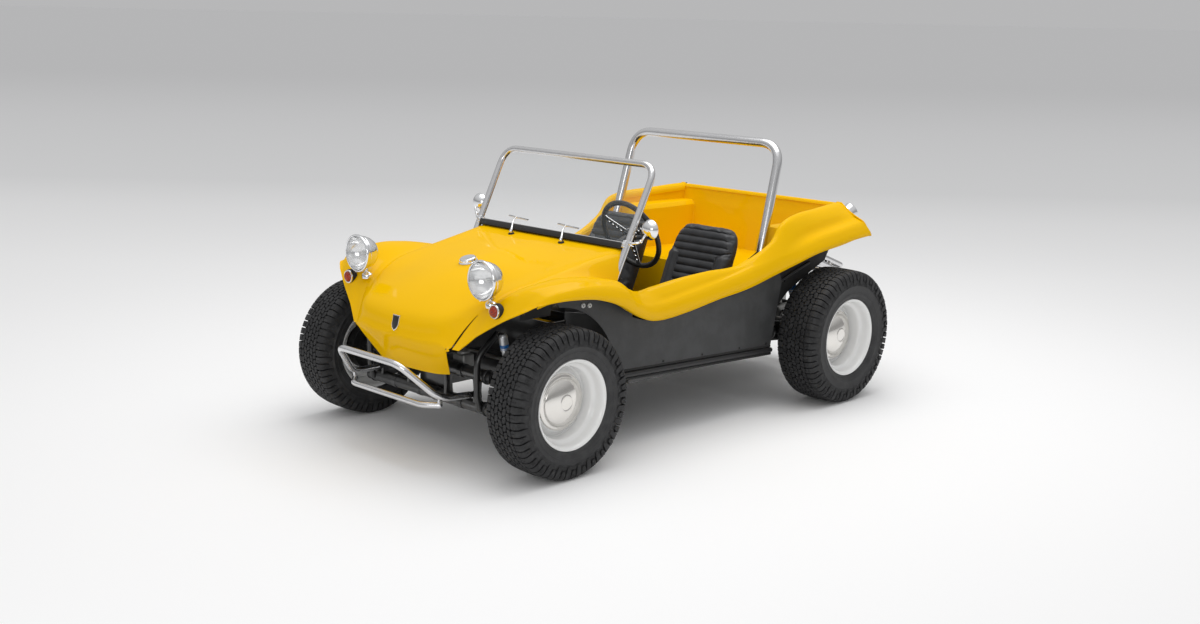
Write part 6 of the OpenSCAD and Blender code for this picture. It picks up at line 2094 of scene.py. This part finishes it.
class BUGGY_OT_drivetrain(bpy.types.Operator):
    """Transaxle, air-cooled engine, fan housing and exhaust"""
    bl_idname = "buggy.drivetrain"
    bl_label = "Engine and transaxle"

    def execute(self, context):
        self.transaxle()
        self.engine()
        self.cooling()
        self.exhaust()
        return {"FINISHED"}

    def transaxle(self):
        parts = [lathe_at("torsion_tube", [(0, -0.571), (0.050, -0.571), (0.052, -0.569), (0.052, -0.545),
            (0.0500, -0.543), (0.0500, 0.543), (0.052, 0.545), (0.052, 0.569), (0.050, 0.571), (0, 0.571)],
            "chassis_enamel", at(0, 664, 400), ACROSS, 56)]
        parts.append(lathe_at("axle_tube", [(0, -0.570), (0.036, -0.570), (0.038, -0.568), (0.038, -0.520),
            (0.0345, -0.512), (0.0345, -0.190), (0.038, -0.184), (0.038, 0.184), (0.0345, 0.190),
            (0.0345, 0.512), (0.038, 0.520), (0.038, 0.568), (0.036, 0.570), (0, 0.570)], "cast_alloy",
            at(0, 1016, 361), ACROSS, 44))
        # Ribbed gearbox case
        rows = []
        for y, w, h in ((668, 62, 66), (690, 82, 84), (760, 88, 92), (860, 92, 96), (930, 104, 104),
                (980, 109.5, 109), (1040, 109.5, 109), (1085, 104, 104)):
            ring = []
            for a in np.linspace(0, 2 * math.pi, 40, endpoint=False):
                c, s = math.cos(a), math.sin(a)
                ring.append(at(w * math.copysign(abs(c) ** 0.6, c), y,
                    371 + h * math.copysign(abs(s) ** 0.6, s)))
            rows.append(ring)
        n = 40
        verts = [v for ring in rows for v in ring]
        faces = [[a, d, c, b] for a, b, c, d in ring_faces(len(rows), n)]
        faces += [list(range(n)), list(range((len(rows) - 1) * n, len(rows) * n))]
        parts.append(piece_from("case", verts, faces, "cast_alloy"))
        for side in (-1, 1):
            piece = block("rib", (side * 85 - 7, 705, 305), (side * 85 + 7, 710, 438), "cast_alloy",
                           0.0015, 1)
            parts.append(repeated(piece, 8, (0, 0.026, 0), "cast_alloy"))
        for side in (-1, 1):
            parts.append(lathe_at("axle_flange", [(0.034, 0), (0.084, 0.0), (0.086, 0.002), (0.086, 0.008),
                (0.062, 0.018), (0.048, 0.034), (0.044, 0.050), (0.0345, 0.056)], "cast_alloy",
                at(side * 104, 1016, 361), (side, 0, 0), 48))
            for u, v in round_points(6, 74):
                parts.append(bolt("flange_bolt", at(side * 112, 1016 + u, 361 + v), (side, 0, 0), 0.006))
            boot = [(0.040, 0)]
            for k in range(5):
                boot += [(0.0460 - 0.001 * k, 0.006 + 0.014 * k), (0.0375, 0.013 + 0.014 * k)]
            boot += [(0.0350, 0.076)]
            parts.append(lathe_at("axle_boot", boot, "gasket_rubber", at(side * 160, 1016, 361), (side, 0, 0),
                40))
            carrier = [(0.010, 0.0), (0.0560, 0.0), (0.060, 0.002), (0.060, 0.012), (0.0520, 0.016),
                (0.0500, 0.028), (0.0480, 0.030), (0.010, 0.030)]
            parts.append(lathe_at("carrier", carrier, "cast_alloy", at(side * 583.8, 1016, 361), (side, 0, 0),
                48))
            parts.append(rod_bar("stub", (side * 601, 1016, 361), (side * 721, 1016, 361), 0.0148,
                "plated_steel"))
        shown(joined("transaxle_skin", parts), "chassis", "cast_alloy", "transaxle")

    def engine(self):
        parts = [block("crankcase", (-126, 1088, 262), (126, 1414, 472), "cast_alloy", 0.018, 4),
                 block("sump", (-92, 1120, 250.5), (92, 1350, 275), "cast_alloy", 0.008, 3),
                 block("case_seam", (-3, 1092, 254), (3, 1416, 479), "cast_alloy", 0.002)]
        fin = block("sump_fin", (-96, 1130, 252), (96, 1134, 262), "cast_alloy", 0.001, 1)
        parts.append(repeated(fin, 14, (0, 0.015, 0), "cast_alloy"))
        for side in (-1, 1):
            # Two finned barrels with a head and a rocker cover on each side
            for y in (1180, 1306):
                parts.append(rod_bar("barrel", (side * 128, y, 365), (side * 236, y, 365), 0.050, "drum_iron",
                    40))
                ring = turned("fin", [(0.049, 0), (0.0625, 0.0004), (0.0625, 0.0018), (0.049, 0.0022)],
                    "drum_iron", 40, close=True)
                moved(ring, aimed(at(side * 138, y, 365), ACROSS))
                parts.append(repeated(ring, 13, (side * 0.0072, 0, 0), "drum_iron"))
                parts.append(rod_bar("push_rod", (side * 128, y + 56, 309), (side * 242, y + 56, 309), 0.0075,
                                     "plated_steel"))
            parts.append(block("head", (side * 236, 1110, 304), (side * 296, 1373, 426), "cast_alloy", 0.006,
                3))
            for z in range(312, 424, 8):
                parts.append(block("head_fin", (side * 240, 1106.5, z), (side * 288, 1375.5, z + 2.5),
                    "cast_alloy"))
            parts.append(block("rocker_cover", (side * 296, 1122, 318), (side * 329.5, 1362, 412),
                "bright_chrome", 0.014, 5))
            parts.append(pipe("bail", [(side * 292, 1242, 322), (side * 331, 1242, 336),
                (side * 331, 1242, 394), (side * 292, 1242, 408)], 0.0028, "plated_steel", 0.008, 6, 10))
        pulley = [(0, 0.030), (0.018, 0.030), (0.020, 0.024), (0.060, 0.020), (0.070, 0.026), (0.081, 0.027),
            (0.082, 0.025), (0.074, 0.018), (0.074, 0.013), (0.082, 0.006), (0.081, 0.002), (0.030, 0.0),
            (0, 0.0)]
        parts.append(lathe_at("pulley", pulley, "plated_steel", at(0, 1416, 361), BACK, 64))
        parts.append(bolt("pulley_bolt", at(0, 1442, 361), BACK, 0.013))
        # Distributor and oil filler
        parts.append(lathe_at("distributor", [(0, 0.075), (0.012, 0.075), (0.020, 0.070), (0.030, 0.060),
            (0.031, 0.040), (0.024, 0.036), (0.022, 0.0), (0, 0)], "satin_black", at(-84, 1395, 472),
            (0, 0.1, 1), 36))
        parts.append(lathe_at("oil_filler", [(0, 0.070), (0.020, 0.070), (0.024, 0.066), (0.024, 0.056),
            (0.018, 0.050), (0.016, 0.0), (0, 0)], "satin_black", at(104, 1395, 466), (0.15, 0.1, 1), 32))
        shown(joined("engine_skin", parts), "chassis", "cast_alloy", "engine")

    def cooling(self):
        parts = []
        # Fan housing: a flat-sided shroud rounded over the top
        outline = [(-0.189, 0.4812), (-0.189, 0.560)]
        for a in np.linspace(180, 0, 25):
            outline.append((0.150 * math.cos(math.radians(a)) * 1.2,
                0.590 + 0.134 * math.sin(math.radians(a))))
        outline += [(0.189, 0.560), (0.189, 0.4812)]
        parts.append(slab("fan_housing", outline, y_of(1217), y_of(1365), "chassis_enamel", 0.012, "xzy", 4))
        parts.append(block("rib", (-150, 1364, 500), (150, 1367, 503), "chassis_enamel", 0.001, 1))
        parts.append(lathe_at("dynamo", [(0, 0.0), (0.0540, 0.0), (0.0550, 0.002), (0.0550, 0.012),
            (0.0500, 0.014), (0.0500, 0.078), (0.0530, 0.080), (0.0530, 0.088), (0.030, 0.090), (0, 0.090)],
            "satin_black", at(0, 1366, 620), BACK, 48))
        parts.append(lathe_at("dynamo_pulley", [(0.008, 0.100), (0.030, 0.099), (0.048, 0.0985),
            (0.049, 0.0965), (0.042, 0.0915), (0.042, 0.0895), (0.049, 0.0845), (0.046, 0.083),
            (0.008, 0.083)], "plated_steel", at(0, 1366, 620), BACK, 48, close=True))
        # Belt round both pulleys
        path = []
        r1, r2 = 0.076, 0.044
        low, high = at(0, 1431.5, 361), at(0, 1456.5, 620)
        tilt = math.asin((r1 - r2) / 0.259)
        for a in np.linspace(180 - math.degrees(tilt), 360 + math.degrees(tilt), 41):
            path.append((r1 * math.cos(math.radians(a)), low.y, low.z + r1 * math.sin(math.radians(a))))
        for a in np.linspace(math.degrees(tilt), 180 - math.degrees(tilt), 25):
            path.append((r2 * math.cos(math.radians(a)), high.y, high.z + r2 * math.sin(math.radians(a))))
        parts.append(self.belt(np.array(path)))
        # Intake manifold
        for side in (-1, 1):
            parts.append(pipe("manifold", [(side * 250, 1180, 432), (side * 236, 1180, 470),
                (side * 120, 1190, 560), (0, 1196, 600)], 0.016, "cast_alloy", 0.030))
        shown(joined("cooling_skin", parts), "chassis", "chassis_black", "cooling_housing")

    def belt(self, p):
        n = len(p)
        centre = p.mean(axis=0)
        verts, faces = [], []
        for k in range(n):
            t = p[(k + 1) % n] - p[k - 1]
            t /= np.linalg.norm(t)
            out = np.cross(t, (0, 1.0, 0))
            if np.dot(out, p[k] - centre) < 0:
                out = -out
            for u, w in ((-0.0035, -0.004), (0.004, -0.0055), (0.004, 0.0055), (-0.0035, 0.004)):
                verts.append(p[k] + out * u + np.array((0, w, 0)))
        for k in range(n):
            for j in range(4):
                a, b = k * 4, ((k + 1) % n) * 4
                faces.append([a + j, a + (j + 1) % 4, b + (j + 1) % 4, b + j])
        return piece_from("belt", verts, faces, "gasket_rubber")

    def exhaust(self):
        parts = []
        muffler = [(0, 0.600), (0.040, 0.600), (0.050, 0.596), (0.0535, 0.590), (0.0550, 0.588),
            (0.0550, 0.580), (0.0530, 0.578), (0.0530, 0.022), (0.0550, 0.020), (0.0550, 0.012),
            (0.0535, 0.010), (0.050, 0.004), (0.040, 0.0), (0, 0.0)]
        parts.append(lathe_at("muffler", muffler, "exhaust_steel", at(-300, 1505, 250), ACROSS, 56))
        for side in (-1, 1):
            parts.append(pipe("header", [(side * 280, 1186, 299), (side * 280, 1186, 235),
                (side * 260, 1500, 232)], 0.0188, "exhaust_steel", 0.034, 8, 26))
            parts.append(block("flange", (side * 280 - 28, 1160, 292), (side * 280 + 28, 1212, 299),
                                "exhaust_steel", 0.003))
            parts.append(lathe_at("clamp", [(0.0188, 0), (0.0215, 0.001), (0.0215, 0.017), (0.0188, 0.018)],
                                  "plated_steel", at(side * 262, 1420, 232.5), BACK, 32))
            tail = [(0.0172, 0.021), (0.0172, 0.0795), (0.0180, 0.0800), (0.0190, 0.0790), (0.0190, 0.0),
                (0.0, 0.0), (0.0, 0.021)]
            parts.append(lathe_at("tail_pipe", tail, "bright_chrome", at(side * 120, 1505, 250), BACK, 40))
            parts.append(lathe_at("tail_clamp", [(0.0190, 0), (0.0205, 0.0008), (0.0205, 0.012),
                (0.0190, 0.013)], "plated_steel", at(side * 120, 1561, 250), BACK, 32))
        shown(joined("exhaust_skin", parts), "chassis", "exhaust_steel", "exhaust")


# ---------- Studio ----------

FLOOR_REACH = 900


def studio_floor():
    r = FLOOR_REACH
    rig.stage(piece_from("floor", [(-r, -r, 0), (r, -r, 0), (r, r, 0), (-r, r, 0)], [[0, 1, 2, 3]],
                        "floor_white", smooth=False))


def floor_white():
    """Pale floor whose colour greys with distance from the car: a painted falloff of light."""
    f = Finish("floor_white", Roughness=0.9, Specular_IOR_Level=0.0)
    x, y = f.along(0), f.along(1)
    away = x * -0.705 + y * 0.709
    round_car = (x * x + y * y).power(0.5) - 9.0
    # The further of the two distances
    away = (away + round_car + (away - round_car).absolute()) * 0.5
    # Painted falloff of light: the colour runs from near white by the car to grey far away.
    shade_of = f.node("ShaderNodeValToRGB", {"stops": [
        (0.0, (0.97, 0.97, 0.97)), (0.12, (0.962, 0.962, 0.962)), (0.20, (0.895, 0.895, 0.897)),
        (0.27, (0.80, 0.802, 0.805)), (0.36, (0.78, 0.782, 0.785)), (0.6, (0.735, 0.735, 0.74)),
        (1.0, (0.65, 0.65, 0.655))]},
        away.between(-6.0, 40.0))
    f.set(Base_Color=shade_of)
    return f


FINISHES["floor_white"] = floor_white


def studio_light():
    world = bpy.data.worlds.new("studio")
    bpy.context.scene.world = world
    world.use_nodes = True
    tree = world.node_tree
    tree.nodes.clear()
    out = tree.nodes.new("ShaderNodeOutputWorld")
    ground = tree.nodes.new("ShaderNodeBackground")
    coords = tree.nodes.new("ShaderNodeTexCoord")
    split = tree.nodes.new("ShaderNodeSeparateXYZ")
    tree.links.new(coords.outputs["Generated"], split.inputs[0])
    ramp = tree.nodes.new("ShaderNodeValToRGB")
    stops = [(0.0, 0.55), (0.50, 0.46), (0.56, 0.44), (0.62, 0.62), (0.74, 0.80), (0.86, 0.85), (1.0, 0.90)]
    while len(ramp.color_ramp.elements) < len(stops):
        ramp.color_ramp.elements.new(0.5)
    for element, (place, level) in zip(ramp.color_ramp.elements, stops):
        element.position, element.color = place, (level, level, level * 1.005, 1)
    half = tree.nodes.new("ShaderNodeMath")
    half.operation = "MULTIPLY_ADD"
    half.inputs[1].default_value, half.inputs[2].default_value = 0.5, 0.5
    tree.links.new(split.outputs["Z"], half.inputs[0])
    tree.links.new(half.outputs[0], ramp.inputs[0])
    tree.links.new(ramp.outputs[0], ground.inputs["Color"])
    ground.inputs["Strength"].default_value = 0.75
    # What the camera itself sees beyond the floor
    far = tree.nodes.new("ShaderNodeBackground")
    far.inputs["Color"].default_value = (0.475, 0.475, 0.48, 1)
    path = tree.nodes.new("ShaderNodeLightPath")
    seen = tree.nodes.new("ShaderNodeMixShader")
    tree.links.new(path.outputs["Is Camera Ray"], seen.inputs[0])
    tree.links.new(ground.outputs[0], seen.inputs[1])
    tree.links.new(far.outputs[0], seen.inputs[2])
    tree.links.new(seen.outputs[0], out.inputs["Surface"])

    def lamp(name, place, target, width, depth, power):
        light = bpy.data.lights.new(name, "AREA")
        light.shape, light.size, light.size_y, light.energy = "RECTANGLE", width, depth, power
        made = bpy.data.objects.new(name, light)
        bpy.context.scene.collection.objects.link(made)
        made.location = place
        made.rotation_euler = (Vector(target) - Vector(place)).to_track_quat("-Z", "Y").to_euler()

    lamp("overhead", (0.2, 0.6, 4.4), (0, 0, 0), 3.6, 4.6, 89)
    lamp("front_fill", (4.5, -6.5, 2.6), (0, -0.3, 0.5), 3.0, 2.0, 66)
    sun = bpy.data.lights.new("soft_sky", "SUN")
    sun.energy, sun.angle = 0.33, math.radians(70)
    made = bpy.data.objects.new("soft_sky", sun)
    bpy.context.scene.collection.objects.link(made)
    made.rotation_euler = (math.radians(8), math.radians(6), 0)


def studio_camera():
    lens = bpy.data.cameras.new("studio_camera")
    lens.sensor_width, lens.lens, lens.clip_end = 36.0, 42.54, 3000.0
    camera = bpy.data.objects.new("studio_camera", lens)
    bpy.context.scene.collection.objects.link(camera)
    right = Vector((0.70602288, 0.70790298, 0.02012619))
    up = Vector((-0.15915788, 0.13091474, 0.97853467))
    back = right.cross(up)
    turn = Matrix((right, up, back)).transposed().to_4x4()
    camera.matrix_world = Matrix.Translation((5.15646702, -5.24445998, 2.03335376)) @ turn
    bpy.context.scene.camera = camera


class BUGGY_OT_studio(bpy.types.Operator):
    """Pale floor, soft studio light and the camera"""
    bl_idname = "buggy.studio"
    bl_label = "Studio"

    def execute(self, context):
        context.scene.view_settings.view_transform = "Standard"
        studio_floor()
        studio_light()
        studio_camera()
        return {"FINISHED"}


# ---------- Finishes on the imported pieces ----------

CAD_FINISHES = {
    "body_shell": "yellow_gelcoat", "hood": "yellow_gelcoat", "side_panels": "charcoal_panel",
    "floor_pan": "chassis_enamel", "dashboard": "satin_black", "windshield_frame": "polished_tube",
    "windshield_glass": "clear_pane", "wipers": "bright_chrome", "headlights": "bright_chrome",
    "headlight_lenses": "lamp_glass", "signal_lights": "amber_lens", "mirrors": "bright_chrome",
    "hood_trim": "bright_chrome", "front_bumper": "polished_tube", "rear_bumper": "polished_tube",
    "roll_bar": "polished_tube", "driver_seat": "seat_vinyl", "passenger_seat": "seat_vinyl",
    "steering_column": "satin_black", "steering_wheel": "wheel_wrap", "floor_controls": "satin_black",
    "front_beam": "chassis_enamel", "suspension_arms": "chassis_enamel",
    "shock_absorbers": "shock_silver", "left_knuckle": "plated_steel", "right_knuckle": "plated_steel",
    "tie_rods": "plated_steel", "transaxle": "cast_alloy", "engine": "cast_alloy",
    "cooling_housing": "chassis_enamel", "exhaust": "exhaust_steel"}


class BUGGY_OT_finishes(bpy.types.Operator):
    """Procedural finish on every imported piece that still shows"""
    bl_idname = "buggy.finishes"
    bl_label = "Finishes on packed pieces"

    def execute(self, context):
        ends = {"tyre": "tyre_rubber", "rim": "wheel_enamel", "hubcap": "cap_steel", "drum": "drum_iron"}
        for name, node in NODES.items():
            finish = CAD_FINISHES.get(name) or ends[name.rsplit("_", 1)[1]]
            if not node.hide_render:
                node.data.materials.clear()
                node.data.materials.append(finish_of(finish))
        return {"FINISHED"}


class BUGGY_PT_panel(bpy.types.Panel):
    bl_label = "Dune buggy"
    bl_idname = "BUGGY_PT_panel"
    bl_space_type = "VIEW_3D"
    bl_region_type = "UI"
    bl_category = "Buggy"

    def draw(self, context):
        for group in (context.scene.buggy_paint, context.scene.buggy_sizes):
            for key in group.__annotations__:
                self.layout.prop(group, key)
        for operator in OPERATORS:
            self.layout.operator(operator.bl_idname)


OPERATORS = [cls for name, cls in list(globals().items()) if name.startswith("BUGGY_OT_")]
ORDER = [cls for cls in OPERATORS if cls not in (BUGGY_OT_finishes, BUGGY_OT_studio)] + [
    BUGGY_OT_finishes, BUGGY_OT_studio]
CLASSES = [BuggyPaint, BuggySizes, *OPERATORS, BUGGY_PT_panel]


def register():
    for each in CLASSES:
        bpy.utils.register_class(each)
    bpy.types.Scene.buggy_paint = bpy.props.PointerProperty(type=BuggyPaint)
    bpy.types.Scene.buggy_sizes = bpy.props.PointerProperty(type=BuggySizes)


def unregister():
    del bpy.types.Scene.buggy_sizes
    del bpy.types.Scene.buggy_paint
    for each in reversed(CLASSES):
        bpy.utils.unregister_class(each)


def main():
    register()
    for operator in ORDER:
        group, call = operator.bl_idname.split(".")
        getattr(getattr(bpy.ops, group), call)()
    with open("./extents.json", "w") as out:
        json.dump({"cad": [list(c) for c in CAD_BOX], "visual": [list(c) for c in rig.bounds()]}, out)


if __name__ == "__main__":
    main()
